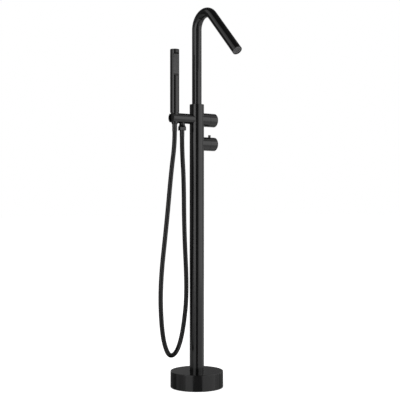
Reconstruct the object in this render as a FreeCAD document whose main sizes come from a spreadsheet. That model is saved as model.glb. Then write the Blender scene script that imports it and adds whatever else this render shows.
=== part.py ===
"""Floor standing bath filler: a column on a round base, with a swivel spout, two side controls,
an arm that holds a stick handset, and the hose between them.

Millimetres. Z points up, the origin is the centre of the base where it meets the floor. The
controls point along +X, the handset arm along -X, and the spout at rest along -Y, to the front.
"""
import FreeCAD, Part
import math
import os
import re
import Sketcher

Vector = FreeCAD.Vector

os.makedirs("parts", exist_ok=True)
doc = FreeCAD.newDocument("BathFiller")

# ---------------------------------------------------------------------------
# Sizes: each is written once here, and every sub-part reads its cell.
# ---------------------------------------------------------------------------
SIZES = {
    # fits
    "slip": 0.1,                 # between pieces that are put together and stay
    "run": 0.05,                 # round a shaft that turns or slides in its hole
    "free": 0.3,                 # between pieces that pass each other
    # round base
    "base_radius": 82,
    "base_height": 50,
    "base_wall": 3,
    "base_edge": 1.5,
    "seal_cord": 2.6,
    "flange_room": 7,
    "flange_thick": 8,
    "spigot_height": 30,
    "bolt_margin": 14,
    "bolt_hole_radius": 4.5,
    "inlet_spacing": 20,
    "inlet_radius": 7.5,
    "inlet_depth": 14,
    "waterway_radius": 4,
    "foot_seal_margin": 5,
    "foot_seal_width": 3,
    "foot_seal_height": 2,
    "foot_screw_rise": 16,
    "foot_screw_radius": 2.5,
    "foot_screw_length": 8,
    # column
    "column_radius": 22.5,
    "column_wall": 2,
    "column_top": 874,
    "cap_thick": 3.6,
    "cap_depth": 10.5,
    "cap_spigot_wall": 2.8,
    "pipe_radius": 6,
    "pipe_wall": 1,
    "pipe_socket": 10,
    # brass valve body inside the column
    "upper_axis_drop": 43,
    "axis_spacing": 75,
    "valve_skirt": 34,
    "valve_top_drop": 12,
    "valve_gap": 0.9,
    "boss_wall": 2.2,
    "boss_reach": 33,
    "cartridge_radius": 11.2,
    "cartridge_floor": 5,
    "cartridge_neck_radius": 8,
    "cartridge_neck_length": 3.5,
    "spindle_radius": 4,
    "spindle_grip": 18.5,
    "nut_wall": 3.9,
    "nut_thick": 5,
    # controls
    "knob_radius": 21.25,
    "sleeve_wall": 2.8,
    "sleeve_reach": 39.6,
    "sleeve_web": 3,
    "sleeve_nose": 10.6,
    "seam": 0.4,
    "knob_length": 28.4,
    "knob_face": 5.4,
    "knob_wall": 2.7,
    "knob_edge": 1.2,
    "hub_wall": 3.4,
    "hub_length": 18,
    "spindle_bite": 3,
    "knob_screw_inset": 10,
    "knob_screw_radius": 2,
    "stop_ring_wall": 3.9,
    "stop_ring_width": 2.2,
    "stop_lug_height": 3,
    # safety button on the lower knob
    "button_inset": 9.4,
    "button_radius": 4,
    "button_proud": 7.15,
    "button_flange_lip": 1.2,
    "button_flange_drop": 1.15,
    "button_flange_thick": 1.5,
    "button_tail_radius": 1.6,
    "button_tail_length": 4.9,
    "spring_radius": 2.9,
    "spring_wire": 0.6,
    # spout
    "spout_radius": 15,
    "spout_wall": 1.8,
    "spout_rise": 236,
    "bend_radius": 46.6,
    "spout_turn": 136,
    "spout_run": 172,
    "spout_groove_rise": 4.9,
    "spout_groove_width": 3.6,
    "spout_groove_depth": 1,
    "spout_screw_radius": 1.4,
    "spout_nipple_step": 3,
    "spout_nipple_depth": 17,
    "spout_nipple_wall": 3.4,
    "spout_plug_length": 12,
    "oring_cord": 1.6,
    "aerator_rim": 1.8,
    "aerator_depth": 9,
    "aerator_inset": 0.6,
    "aerator_cell_radius": 1.15,
    "aerator_cell_pitch": 3.1,
    # arm, holder and hose outlet
    "arm_radius": 15.7,
    "arm_reach": 97.6,
    "arm_edge": 1.6,
    "arm_bore_radius": 5,
    "arm_bore_past_outlet": 6.5,
    "arm_nipple_radius": 8,
    "arm_nipple_wall": 3.5,
    "arm_nipple_inner": 9,
    "arm_nipple_outer": 34,
    "holder_end": 13.3,
    "holder_slot": 17,
    "bush_wall": 0.9,
    "outlet_spacing": 27.8,
    "outlet_thread_radius": 10.4,
    "outlet_port_radius": 7.6,
    "outlet_stem_radius": 8.8,
    "outlet_stem_length": 3.7,
    "outlet_cone_length": 7.8,
    "outlet_cone_radius": 12.6,
    "outlet_tail_length": 3.3,
    "check_valve_radius": 5.6,
    "check_valve_length": 12,
    "check_valve_floor": 4,
    # hose fittings
    "hex_width": 24,
    "hex_height": 9.4,
    "hex_floor": 2,
    "washer_bore": 5,
    "ferrule_radius": 7.4,
    "ferrule_flange_radius": 9.7,
    "ferrule_flange_thick": 1.8,
    "ferrule_length": 18.9,
    "crimp_depth": 0.35,
    "crimp_width": 1.6,
    "crimp_pitch": 4.2,
    "crimp_start": 2.4,
    "nut_top_inset": 2.2,
    "nut_taper": 0.7,
    "nut_foot_radius": 8.7,
    "nut_foot_drop": 3.5,
    "nut_waist_rise": 8.2,
    "nut_floor": 9.2,
    "top_ferrule_radius": 7.7,
    "top_ferrule_length": 21.8,
    "hose_radius": 7,
    "hose_bore_radius": 5,
    # handset
    "handset_radius": 14.1,
    "handset_length": 194.3,
    "handset_edge": 0.8,
    "handset_wall": 7.1,
    "handset_cap_thick": 5.2,
    "handset_cap_spigot": 5,
    "handset_nipple_radius": 10.4,
    "handset_nipple_rise": 5.9,
    "handset_nipple_bore": 5,
    "handset_flange_inset": 1.8,
    "handset_floor": 3,
    "nipple_flange_thick": 5,
    "flat_depth": 5.9,
    "flat_length": 61,
    "flat_top_drop": 14.3,
    "flat_run_out_low": 8,
    "flat_run_out_high": 3,
    "plate_side_margin": 0.57,
    "plate_low_margin": 2.6,
    "plate_high_margin": 1.4,
    "plate_thick": 1.5,
    "mat_thick": 1.2,
    "chamber_depth": 4,
    "chamber_margin": 2.3,
    "nozzle_radius": 0.8,
    "nozzle_stand": 1.2,
    "nozzle_pitch": 6.1,
    "nozzle_column": 4.8,
    "nozzle_lift": 1.1,
}
# Sizes that follow from the ones above: the sheet works them out.
DERIVED = {
    "flange_radius": "base_radius - base_wall - flange_room",
    "bolt_circle_radius": "flange_radius - bolt_margin",
    "foot_seal_radius": "flange_radius - foot_seal_margin - foot_seal_width / 2",
    "foot_screw_height": "flange_thick + foot_screw_rise",
    "tube_radius": "column_radius - column_wall",
    "upper_axis": "column_top - upper_axis_drop",
    "lower_axis": "upper_axis - axis_spacing",
    "valve_bottom": "lower_axis - valve_skirt",
    "valve_top": "column_top - valve_top_drop",
    "boss_radius": "cartridge_radius + slip + boss_wall",
    "cartridge_reach": "boss_reach + cartridge_neck_length",
    "nut_radius": "boss_radius + slip + nut_wall",
    "sleeve_web_place": "sleeve_reach - sleeve_nose - sleeve_web",
    "knob_start": "sleeve_reach + seam",
    "knob_reach": "knob_start + knob_length",
    "hub_top": "knob_reach - knob_face",
    "hub_foot": "hub_top - hub_length",
    "hub_radius": "spindle_radius + slip + hub_wall",
    "spindle_reach": "hub_top - spindle_bite",
    "spindle_root": "boss_reach - spindle_grip",
    "knob_screw_place": "hub_top - knob_screw_inset",
    "stop_ring_radius": "cartridge_neck_radius + slip + stop_ring_wall",
    "button_place": "knob_start + button_inset",
    "button_height": "knob_radius + button_proud",
    "button_flange_radius": "button_radius + button_flange_lip",
    "button_flange_high": "knob_radius - knob_wall - button_flange_drop",
    "button_flange_low": "button_flange_high - button_flange_thick",
    "spigot_radius": "tube_radius - slip",
    "spout_foot": "column_top - cap_depth + free",
    "bend_start": "column_top + spout_rise",
    "spout_bore_radius": "spout_radius - spout_wall",
    "spout_groove_height": "spout_foot + spout_groove_rise",
    "groove_floor": "spout_radius - spout_groove_depth",
    "spout_nipple_radius": "spout_bore_radius - spout_nipple_step",
    "spout_nipple_bottom": "valve_top - spout_nipple_depth",
    "spout_nipple_bore": "spout_nipple_radius - spout_nipple_wall",
    "spout_plug_top": "spout_foot + spout_plug_length",
    "mouth_radius": "spout_bore_radius - slip",
    "aerator_radius": "spout_bore_radius - aerator_rim",
    "holder_place": "arm_reach - holder_end",
    "outlet_place": "holder_place - outlet_spacing",
    "arm_bore_reach": "outlet_place + arm_bore_past_outlet",
    "arm_nipple_bore": "arm_nipple_radius - arm_nipple_wall",
    "arm_foot": "upper_axis - arm_radius",
    "outlet_cone_top": "arm_foot - outlet_stem_length",
    "outlet_cone_bottom": "outlet_cone_top - outlet_cone_length",
    "outlet_tail_bottom": "outlet_cone_bottom - outlet_tail_length",
    "hex_bottom": "outlet_cone_bottom - hex_height",
    "ferrule_bottom": "hex_bottom - ferrule_length",
    "nut_foot": "arm_foot - nut_foot_drop",
    "nut_floor_top": "nut_foot + nut_floor",
    "nut_waist": "nut_foot + nut_waist_rise",
    "nut_top_radius": "handset_radius - nut_top_inset",
    "nut_waist_radius": "nut_top_radius - nut_taper",
    "nut_hole_radius": "top_ferrule_radius + free",
    "nut_bore_radius": "handset_nipple_radius + slip",
    "top_ferrule_bottom": "nut_foot - top_ferrule_length",
    "handset_bottom": "upper_axis + arm_radius + free",
    "handset_top": "handset_bottom + handset_length",
    "handset_bore": "handset_radius - handset_wall",
    "handset_nipple_bottom": "nut_floor_top + handset_nipple_rise",
    "handset_nipple_flange": "handset_radius - handset_flange_inset",
    "flat_offset": "handset_radius - flat_depth",
    "flat_half_width": "sqrt(handset_radius ^ 2 - flat_offset ^ 2)",
    "flat_top": "handset_top - flat_top_drop",
    "flat_bottom": "flat_top - flat_length",
    "plate_half_width": "flat_half_width - plate_side_margin",
    "plate_bottom": "flat_bottom + plate_low_margin",
    "plate_top": "flat_top - plate_high_margin",
    "chamber_half_width": "plate_half_width - chamber_margin",
    "nozzle_middle": "(plate_bottom + plate_top) / 2 + nozzle_lift",
}
FRONT_ROWS = 9        # nozzle rows in the middle and outer columns
BACK_ROWS = 8         # nozzle rows in the columns between them
BOLT_COUNT = 4
AERATOR_RINGS = 3
SPRING_TURNS = 5

# The hose hangs from the outlet ferrule (first point) and comes back up to the handset ferrule.
HOSE_ROUTE = [
    (-56.5, 0, 775.5),
    (-56.5, 0, 730),
    (-50, 0, 645),
    (-47, 2, 485),
    (-32, 7, 295),
    (-41, 14, 184),
    (-57, 16, 125),
    (-88, 1, 104),
    (-124, -19, 114),
    (-156, -36, 182),
    (-158, -29, 323),
    (-127, -20, 514),
    (-105, -12, 670),
    (-84.3, 0, 750),
    (-84.3, 0, 790),
]

sheet = doc.addObject("Spreadsheet::Sheet", "Sizes")
cells = [(alias, str(number)) for alias, number in SIZES.items()]
cells += [(alias, "=" + formula) for alias, formula in DERIVED.items()]
for row, (alias, content) in enumerate(cells, start=1):
    sheet.set("A%d" % row, alias.replace("_", " "))
    sheet.set("B%d" % row, content)
    sheet.setAlias("B%d" % row, alias)
doc.recompute()


# ---------------------------------------------------------------------------
# Ways of making a piece
# ---------------------------------------------------------------------------
def bound(text):
    """An expression with every size name pointed at its cell in the sheet."""
    def cell(word):
        name = word.group(0)
        return "Sizes." + name if name in SIZES or name in DERIVED else name
    return re.sub(r"[a-z][a-z_]*", cell, text)


def bind(item, **texts):
    """Bind properties of an object to expressions of the sizes."""
    for name, text in texts.items():
        item.setExpression(name, bound(text))


def place(item, x="0", y="0", z="0"):
    """Put an object at a point given by expressions."""
    for name, text in (("x", x), ("y", y), ("z", z)):
        item.setExpression("Placement.Base." + name, bound(text))
    return item


def turn_to(item, along):
    """Turn an object made along Z so that it lies along another direction."""
    item.Placement = FreeCAD.Placement(Vector(), FreeCAD.Rotation(Vector(0, 0, 1), Vector(*along)))


def cylinder(name, radius, length, x="0", y="0", z="0", along=(0, 0, 1)):
    item = doc.addObject("Part::Cylinder", name)
    bind(item, Radius=radius, Height=length)
    turn_to(item, along)
    return place(item, x, y, z)


def cone(name, low_radius, high_radius, length, x="0", y="0", z="0"):
    item = doc.addObject("Part::Cone", name)
    bind(item, Radius1=low_radius, Radius2=high_radius, Height=length)
    return place(item, x, y, z)


def block(name, length, width, height, x, y, z):
    """A box from its low corner."""
    item = doc.addObject("Part::Box", name)
    bind(item, Length=length, Width=width, Height=height)
    return place(item, x, y, z)


def ring_cord(name, ring_radius, cord_radius, x="0", y="0", z="0"):
    """A rubber ring of round section, lying flat."""
    item = doc.addObject("Part::Torus", name)
    bind(item, Radius1=ring_radius, Radius2=cord_radius)
    return place(item, x, y, z)


def joined(name, pieces):
    item = doc.addObject("Part::MultiFuse", name)
    item.Shapes = pieces
    return item


def cut(name, base, tools):
    item = doc.addObject("Part::Cut", name)
    item.Base = base
    item.Tool = tools[0] if len(tools) == 1 else joined(name + "_tools", tools)
    return item


def group(name, pieces):
    """Like pieces that share one node, each its own solid."""
    item = doc.addObject("Part::Compound", name)
    item.Links = pieces
    return item


def origin_plane(body, role):
    return [plane for plane in body.Origin.OriginFeatures if plane.Role == role][0]


def sketch_on(body, role, name):
    sketch = body.newObject("Sketcher::SketchObject", name)
    sketch.AttachmentSupport = (origin_plane(body, role), [""])
    sketch.MapMode = "FlatFace"
    return sketch


def hold(sketch, kind, line, point, text, first=1.0):
    """Hold one end of a line at a distance from the sketch's origin."""
    number = sketch.addConstraint(Sketcher.Constraint(kind, -1, 1, line, point, first))
    sketch.setExpression("Constraints[%d]" % number, bound(text))


def outline(sketch, corners):
    """A closed outline of straight lines through corners given as expressions."""
    count = len(corners)
    spots = []
    for index in range(count):
        angle = 2 * math.pi * index / count
        spots.append(Vector(3 + math.cos(angle), 3 + math.sin(angle), 0))
    for index in range(count):
        sketch.addGeometry(Part.LineSegment(spots[index], spots[(index + 1) % count]))
    for index in range(count):
        joint = Sketcher.Constraint("Coincident", index, 2, (index + 1) % count, 1)
        sketch.addConstraint(joint)
    for index, (across, up) in enumerate(corners):
        hold(sketch, "DistanceX", index, 1, across)
        hold(sketch, "DistanceY", index, 1, up)


def turned(name, corners, axis="V_Axis", x="0", y="0", z="0"):
    """A lathe-turned piece: its half section in the XZ plane, spun round Z or round X.

    Corners are (radius, height) for the V_Axis, and (place along X, radius) for the H_Axis.
    """
    body = doc.addObject("PartDesign::Body", name)
    sketch = sketch_on(body, "XZ_Plane", name + "_section")
    outline(sketch, corners)
    solid = body.newObject("PartDesign::Revolution", name + "_turned")
    solid.Profile = (sketch, [""])
    solid.ReferenceAxis = (sketch, [axis])
    solid.Angle = 360
    return place(body, x, y, z)


def rounded(body, radius, is_rim):
    """Round the circular edges of a body that is_rim(radius, centre) picks."""
    doc.recompute()
    solid = body.Tip
    rims = []
    for number, edge in enumerate(solid.Shape.Edges, start=1):
        if isinstance(edge.Curve, Part.Circle) and is_rim(edge.Curve.Radius, edge.Curve.Center):
            rims.append("Edge%d" % number)
    fillet = body.newObject("PartDesign::Fillet", body.Label + "_rounding")
    fillet.Base = (solid, rims)
    bind(fillet, Radius=radius)
    body.Tip = fillet
    return body


def near(first, second):
    return abs(first - second) < 0.01


def read(name):
    """A size's number, read from the sheet."""
    return float(sheet.get(name))


LEFT = (-1, 0, 0)
RIGHT = (1, 0, 0)
BACK = (0, 1, 0)
DOWN = (0, 0, -1)


# ---------------------------------------------------------------------------
# Base: a cover shell over the flange that is bolted to the floor
# ---------------------------------------------------------------------------
base_cover = turned("base_cover", [
    ("column_radius + free", "base_height"),
    ("base_radius", "base_height"),
    ("base_radius", "0"),
    ("base_radius - base_wall", "0"),
    ("base_radius - base_wall", "base_height - base_wall"),
    ("column_radius + free", "base_height - base_wall"),
])
rounded(base_cover, "base_edge",
        lambda radius, centre: near(radius, read("base_radius")) and centre.z > read("base_wall"))

base_seal = ring_cord("base_seal", "column_radius + slip + seal_cord / 2", "seal_cord / 2",
                      z="base_height - base_wall - slip - seal_cord / 2")

flange_blank = turned("flange_blank", [
    ("0", "0"),
    ("flange_radius", "0"),
    ("flange_radius", "flange_thick"),
    ("spigot_radius", "flange_thick"),
    ("spigot_radius", "flange_thick + spigot_height"),
    ("0", "flange_thick + spigot_height"),
])
flange_tools = []
for bolt in range(BOLT_COUNT):
    angle = "%d deg" % (45 + 360 / BOLT_COUNT * bolt)
    flange_tools.append(cylinder(
        "bolt_hole_%d" % bolt, "bolt_hole_radius", "flange_thick + 2",
        "bolt_circle_radius * cos(%s)" % angle, "bolt_circle_radius * sin(%s)" % angle, "-1"))
for side, sign in (("cold", ""), ("hot", "-")):
    middle = sign + "inlet_spacing / 2"
    flange_tools.append(cylinder(side + "_inlet", "inlet_radius", "inlet_depth + 1",
                                 middle, "0", "-1"))
    flange_tools.append(cylinder(side + "_way", "waterway_radius",
                                 "flange_thick + spigot_height", middle, "0", "1"))
    flange_tools.append(cylinder(side + "_foot_socket", "pipe_radius + slip", "pipe_socket + 1",
                                 middle, "0", "flange_thick + spigot_height - pipe_socket"))
foot_groove = cut("foot_groove", cylinder(
    "foot_groove_outer", "foot_seal_radius + foot_seal_width / 2", "foot_seal_height + 1",
    z="-1"), [cylinder(
        "foot_groove_inner", "foot_seal_radius - foot_seal_width / 2", "foot_seal_height + 3",
        z="-2")])
flange_tools.append(foot_groove)


def foot_screw_turn(item, number, radius):
    """Put a piece of the column's foot fixing at its place round the column."""
    angle = "%d deg" % (90 + 120 * number)
    item.Placement = FreeCAD.Placement(Vector(), FreeCAD.Rotation(
        Vector(0, 0, 1), Vector(math.cos(math.radians(90 + 120 * number)),
                                math.sin(math.radians(90 + 120 * number)), 0)))
    return place(item, "(%s) * cos(%s)" % (radius, angle), "(%s) * sin(%s)" % (radius, angle),
                 "foot_screw_height")


FOOT_SCREWS = 3
screw_root = "column_radius - free - foot_screw_length"
for screw in range(FOOT_SCREWS):
    hole = cylinder("spigot_hole_%d" % screw, "foot_screw_radius + slip",
                    "foot_screw_length + column_wall")
    flange_tools.append(foot_screw_turn(hole, screw, screw_root + " - slip"))
floor_flange = cut("floor_flange", flange_blank, flange_tools)

seal_bore = cylinder("flange_seal_bore", "foot_seal_radius - foot_seal_width / 2 + slip",
                     "foot_seal_height + 2", z="-1")
seal_disc = cylinder("flange_seal_disc", "foot_seal_radius + foot_seal_width / 2 - slip",
                     "foot_seal_height - slip")
flange_seal = cut("flange_seal", seal_disc, [seal_bore])

screws = []
for screw in range(FOOT_SCREWS):
    item = cylinder("foot_screw_%d" % screw, "foot_screw_radius", "foot_screw_length")
    screws.append(foot_screw_turn(item, screw, screw_root))
column_screws = group("column_screws", screws)


# ---------------------------------------------------------------------------
# Column: a tube with the holes for what comes through its side, and the ring on its top
# ---------------------------------------------------------------------------
column_bar = cylinder("column_bar", "column_radius", "column_top - flange_thick",
                      z="flange_thick")
column_tools = [
    cylinder("column_bore", "tube_radius", "column_top", z="0"),
    cylinder("arm_hole", "arm_nipple_radius + slip", "column_radius + 5", z="upper_axis",
             along=LEFT),
    cylinder("spout_screw_hole", "spout_screw_radius + slip", "column_radius + 5",
             z="spout_groove_height", along=BACK),
]
for knob in ("upper", "lower"):
    column_tools.append(cylinder(knob + "_boss_hole", "boss_radius + slip", "column_radius + 5",
                                 z=knob + "_axis", along=RIGHT))
for screw in range(FOOT_SCREWS):
    hole = cylinder("column_foot_hole_%d" % screw, "foot_screw_radius + slip",
                    "foot_screw_length + column_wall")
    column_tools.append(foot_screw_turn(hole, screw, screw_root))
column_tube = cut("column_tube", column_bar, column_tools)

cap_blank = turned("cap_blank", [
    ("spout_radius + free", "column_top + cap_thick"),
    ("column_radius", "column_top + cap_thick"),
    ("column_radius", "column_top"),
    ("spigot_radius", "column_top"),
    ("spigot_radius", "column_top - cap_depth"),
    ("spigot_radius - cap_spigot_wall", "column_top - cap_depth"),
    ("spigot_radius - cap_spigot_wall", "column_top"),
    ("spout_radius + free", "column_top"),
])
column_cap = cut("column_cap", cap_blank, [
    cylinder("cap_screw_hole", "spout_screw_radius + slip", "column_radius + 5",
             z="spout_groove_height", along=BACK)])

swivel_blank = turned("swivel_blank", [
    ("spout_radius + run", "column_top - cap_depth"),
    ("spigot_radius - cap_spigot_wall - slip", "column_top - cap_depth"),
    ("spigot_radius - cap_spigot_wall - slip", "column_top - slip"),
    ("spout_radius + run", "column_top - slip"),
])
swivel_bush = cut("swivel_bush", swivel_blank, [
    cylinder("swivel_screw_hole", "spout_screw_radius + slip", "column_radius + 5",
             z="spout_groove_height", along=BACK)])

spout_screw = cylinder("spout_screw", "spout_screw_radius",
                       "column_radius - free - groove_floor - free", y="groove_floor + free", z="spout_groove_height", along=BACK)


# ---------------------------------------------------------------------------
# Water works inside the column: supply pipes, valve body and the two cartridges
# ---------------------------------------------------------------------------
valve_radius = "tube_radius - valve_gap"
valve_pieces = [cylinder("valve_core", valve_radius, "valve_top - valve_bottom",
                         z="valve_bottom")]
valve_tools = [
    cylinder("spout_socket", "spout_nipple_radius + run", "valve_top - spout_nipple_bottom + free",
             z="spout_nipple_bottom - free"),
    cylinder("arm_port", "arm_nipple_radius + slip", "column_radius", x="-arm_nipple_inner",
             z="upper_axis", along=LEFT),
    cylinder("riser_way", "waterway_radius", "spout_nipple_bottom - lower_axis",
             x="spindle_root / 2", z="lower_axis"),
    cylinder("arm_way", "waterway_radius", "arm_nipple_inner + cartridge_floor + 1",
             x="cartridge_floor + 1", z="upper_axis", along=LEFT),
    cylinder("hot_way_across", "waterway_radius", "inlet_spacing / 2 + cartridge_floor + 1",
             x="-inlet_spacing / 2", z="lower_axis", along=RIGHT),
]
for side, sign in (("cold", ""), ("hot", "-")):
    middle = sign + "inlet_spacing / 2"
    valve_tools.append(cylinder(side + "_valve_socket", "pipe_radius + slip", "pipe_socket + 1",
                                middle, "0", "valve_bottom - 1"))
    valve_tools.append(cylinder(side + "_valve_way", "waterway_radius",
                                "lower_axis - valve_bottom", middle, "0", "valve_bottom"))
for knob in ("upper", "lower"):
    valve_pieces.append(cylinder(knob + "_boss", "boss_radius", "boss_reach", z=knob + "_axis",
                                 along=RIGHT))
    valve_tools.append(cylinder(knob + "_chamber", "cartridge_radius + slip", "boss_reach",
                                x="cartridge_floor", z=knob + "_axis", along=RIGHT))
valve_body = cut("valve_body", joined("valve_casting", valve_pieces), valve_tools)

pipes = []
for side, sign in (("cold", ""), ("hot", "-")):
    low = "flange_thick + spigot_height - pipe_socket + slip"
    bar = cylinder(side + "_pipe_bar", "pipe_radius",
                   "valve_bottom + pipe_socket - slip - (%s)" % low,
                   sign + "inlet_spacing / 2", "0", low)
    bore = cylinder(side + "_pipe_bore", "pipe_radius - pipe_wall", "valve_top",
                    sign + "inlet_spacing / 2", "0", "0")
    pipes.append(cut(side + "_supply_pipe", bar, [bore]))


def cartridge(name, level):
    """A cartridge: a plug that fills its chamber, with a thinner neck round the spindle."""
    return turned(name, [
        ("cartridge_floor + slip", "0"),
        ("cartridge_floor + slip", "cartridge_radius"),
        ("boss_reach", "cartridge_radius"),
        ("boss_reach", "cartridge_neck_radius"),
        ("cartridge_reach", "cartridge_neck_radius"),
        ("cartridge_reach", "spindle_radius + run"),
        ("spindle_root - free", "spindle_radius + run"),
        ("spindle_root - free", "0"),
    ], "H_Axis", z=level)


flow_cartridge = cartridge("flow_cartridge", "upper_axis")
thermostat_cartridge = cartridge("thermostat_cartridge", "lower_axis")


def retaining_nut(name, level):
    """The ring nut on a boss, which clamps the sleeve's web."""
    start = "sleeve_web_place + sleeve_web + slip"
    return turned(name, [
        (start, "boss_radius + slip"),
        (start, "nut_radius"),
        (start + " + nut_thick", "nut_radius"),
        (start + " + nut_thick", "boss_radius + slip"),
    ], "H_Axis", z=level)


cartridge_nuts = group("cartridge_nuts", [
    retaining_nut("upper_nut", "upper_axis"), retaining_nut("lower_nut", "lower_axis")])


# ---------------------------------------------------------------------------
# Controls: a fixed sleeve on the column and a cup-shaped handle, twice
# ---------------------------------------------------------------------------
def sleeve(name, level):
    """The fixed sleeve: a tube with a web, its root shaped to the round of the column."""
    blank = turned(name + "_blank", [
        ("0", "knob_radius - sleeve_wall"),
        ("0", "knob_radius"),
        ("sleeve_reach", "knob_radius"),
        ("sleeve_reach", "knob_radius - sleeve_wall"),
        ("sleeve_web_place + sleeve_web", "knob_radius - sleeve_wall"),
        ("sleeve_web_place + sleeve_web", "boss_radius + slip"),
        ("sleeve_web_place", "boss_radius + slip"),
        ("sleeve_web_place", "knob_radius - sleeve_wall"),
    ], "H_Axis", z=level)
    seat = cylinder(name + "_seat", "column_radius + slip", "4 * knob_radius",
                    z=level + " - 2 * knob_radius")
    return cut(name, blank, [seat])


upper_sleeve = sleeve("upper_sleeve", "upper_axis")
lower_sleeve = sleeve("lower_sleeve", "lower_axis")


def handle(name, level, more_tools):
    """A handle: a cup with a thick face, and a hub that grips the spindle."""
    blank = turned(name + "_blank", [
        ("knob_start", "knob_radius - knob_wall"),
        ("knob_start", "knob_radius"),
        ("knob_reach", "knob_radius"),
        ("knob_reach", "0"),
        ("spindle_reach + slip", "0"),
        ("spindle_reach + slip", "spindle_radius + slip"),
        ("hub_foot", "spindle_radius + slip"),
        ("hub_foot", "hub_radius"),
        ("hub_top", "hub_radius"),
        ("hub_top", "knob_radius - knob_wall"),
    ], "H_Axis", z=level)
    rounded(blank, "knob_edge",
            lambda radius, centre: near(radius, read("knob_radius"))
            and near(centre.x, read("knob_reach")))
    screw_hole = cylinder(name + "_screw_hole", "knob_screw_radius + slip", "knob_radius + 1",
                          x="knob_screw_place", z=level, along=DOWN)
    return cut(name, blank, [screw_hole] + more_tools)


button_hole = cylinder("button_hole", "button_radius + run", "knob_radius + 1", x="button_place",
                       z="lower_axis + hub_radius + slip")
flow_handle = handle("flow_handle", "upper_axis", [])
temperature_handle = handle("temperature_handle", "lower_axis", [button_hole])

turning_pieces = {}
for knob, level in (("flow", "upper_axis"), ("temperature", "lower_axis")):
    turning_pieces[knob + "_spindle"] = cylinder(
        knob + "_spindle", "spindle_radius", "spindle_reach - spindle_root", x="spindle_root",
        z=level, along=RIGHT)
    turning_pieces[knob + "_handle_screw"] = cylinder(
        knob + "_handle_screw", "knob_screw_radius", "hub_radius - spindle_radius - 2 * slip",
        x="knob_screw_place", z=level + " - spindle_radius - 2 * slip", along=DOWN)

stop_start = "(sleeve_web_place + sleeve_web + slip + nut_thick + slip)"
stop_blank = turned("stop_blank", [
    (stop_start, "cartridge_neck_radius + slip"),
    (stop_start, "stop_ring_radius"),
    (stop_start + " + stop_ring_width", "stop_ring_radius"),
    (stop_start + " + stop_ring_width", "cartridge_neck_radius + slip"),
], "H_Axis", z="lower_axis")
stop_lug = block("stop_lug", "stop_ring_width", "2 * stop_lug_height", "2 * stop_lug_height",
                 stop_start, "-stop_lug_height",
                 "lower_axis + stop_ring_radius - stop_lug_height")
stop_ring = joined("stop_ring", [stop_blank, stop_lug])

safety_button = turned("safety_button", [
    ("0", "button_height"),
    ("button_radius", "button_height"),
    ("button_radius", "button_flange_high"),
    ("button_flange_radius", "button_flange_high"),
    ("button_flange_radius", "button_flange_low"),
    ("button_tail_radius", "button_flange_low"),
    ("button_tail_radius", "button_flange_low - button_tail_length"),
    ("0", "button_flange_low - button_tail_length"),
], x="button_place", z="lower_axis")


def coil_spring(name, radius, wire, turns, low, high, x, z):
    """A compression spring: one wire wound as a helix between two heights."""
    rise = high - low - 2 * wire
    helix = Part.makeHelix(rise / turns, rise, radius)
    section = Part.Wire([Part.makeCircle(wire / 2, Vector(radius, 0, 0), Vector(0, 1, 0))])
    coil = Part.Wire(helix.Edges).makePipeShell([section], True, True)
    item = doc.addObject("Part::Feature", name)
    item.Shape = coil
    item.Placement = FreeCAD.Placement(Vector(x, 0, z + low + wire), FreeCAD.Rotation())
    return item


button_spring = coil_spring(
    "button_spring", read("spring_radius"), read("spring_wire"), SPRING_TURNS,
    read("hub_radius") + read("slip"), read("button_flange_low"),
    read("button_place"), read("lower_axis"))


# ---------------------------------------------------------------------------
# Spout: one tube bent over a round former, with its swivel nipple and aerator
# ---------------------------------------------------------------------------
spout_body = doc.addObject("PartDesign::Body", "spout_bent")
path = sketch_on(spout_body, "YZ_Plane", "spout_path")
turn = math.radians(read("spout_turn"))
bend = read("bend_radius")
foot = Vector(0, read("spout_foot"), 0)
start = Vector(0, read("bend_start"), 0)
finish = start + Vector(-bend * (1 - math.cos(turn)), bend * math.sin(turn), 0)
tip = finish + Vector(-math.sin(turn), math.cos(turn), 0) * read("spout_run")
middle = start - Vector(bend, 0, 0)
path.addGeometry(Part.LineSegment(foot, start))
path.addGeometry(Part.ArcOfCircle(Part.Circle(middle, Vector(0, 0, 1), bend), 0, turn))
path.addGeometry(Part.LineSegment(finish, tip))
path.addConstraint(Sketcher.Constraint("Coincident", 0, 2, 1, 1))
path.addConstraint(Sketcher.Constraint("Coincident", 1, 2, 2, 1))
turn_x = "-bend_radius * (1 - cos(spout_turn * 1 deg))"
tip_x = turn_x + " - spout_run * sin(spout_turn * 1 deg)"
tip_y = ("bend_start + bend_radius * sin(spout_turn * 1 deg)"
         " + spout_run * cos(spout_turn * 1 deg)")
for line, end, spot, across, up in (
        (0, 1, foot, "0", "spout_foot"),
        (0, 2, start, "0", "bend_start"),
        (1, 3, middle, "-bend_radius", "bend_start"),
        (2, 2, tip, tip_x, tip_y)):
    hold(path, "DistanceX", line, end, across, spot.x)
    hold(path, "DistanceY", line, end, up, spot.y)
hold(path, "DistanceX", 2, 1, turn_x, finish.x)
doc.recompute()
section = sketch_on(spout_body, "XY_Plane", "spout_section")
section.setExpression("AttachmentOffset.Base.z", bound("spout_foot"))
for number, radius in enumerate(("spout_radius", "spout_bore_radius")):
    section.addGeometry(Part.Circle(Vector(0, 0, 0), Vector(0, 0, 1), 10 - 3 * number))
    section.addConstraint(Sketcher.Constraint("Coincident", number, 3, -1, 1))
    held = section.addConstraint(Sketcher.Constraint("Radius", number, 10 - 3 * number))
    section.setExpression("Constraints[%d]" % held, bound(radius))
bent_tube = spout_body.newObject("PartDesign::AdditivePipe", "spout_pipe")
bent_tube.Profile = (section, [""])
bent_tube.Spine = (path, [""])
doc.recompute()
tube_area = math.pi * (read("spout_radius") ** 2 - read("spout_bore_radius") ** 2)
tube_length = start.distanceToPoint(foot) + bend * turn + read("spout_run")
print("spout volume over section times length",
      round(spout_body.Shape.Volume / (tube_area * tube_length), 4))

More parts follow.
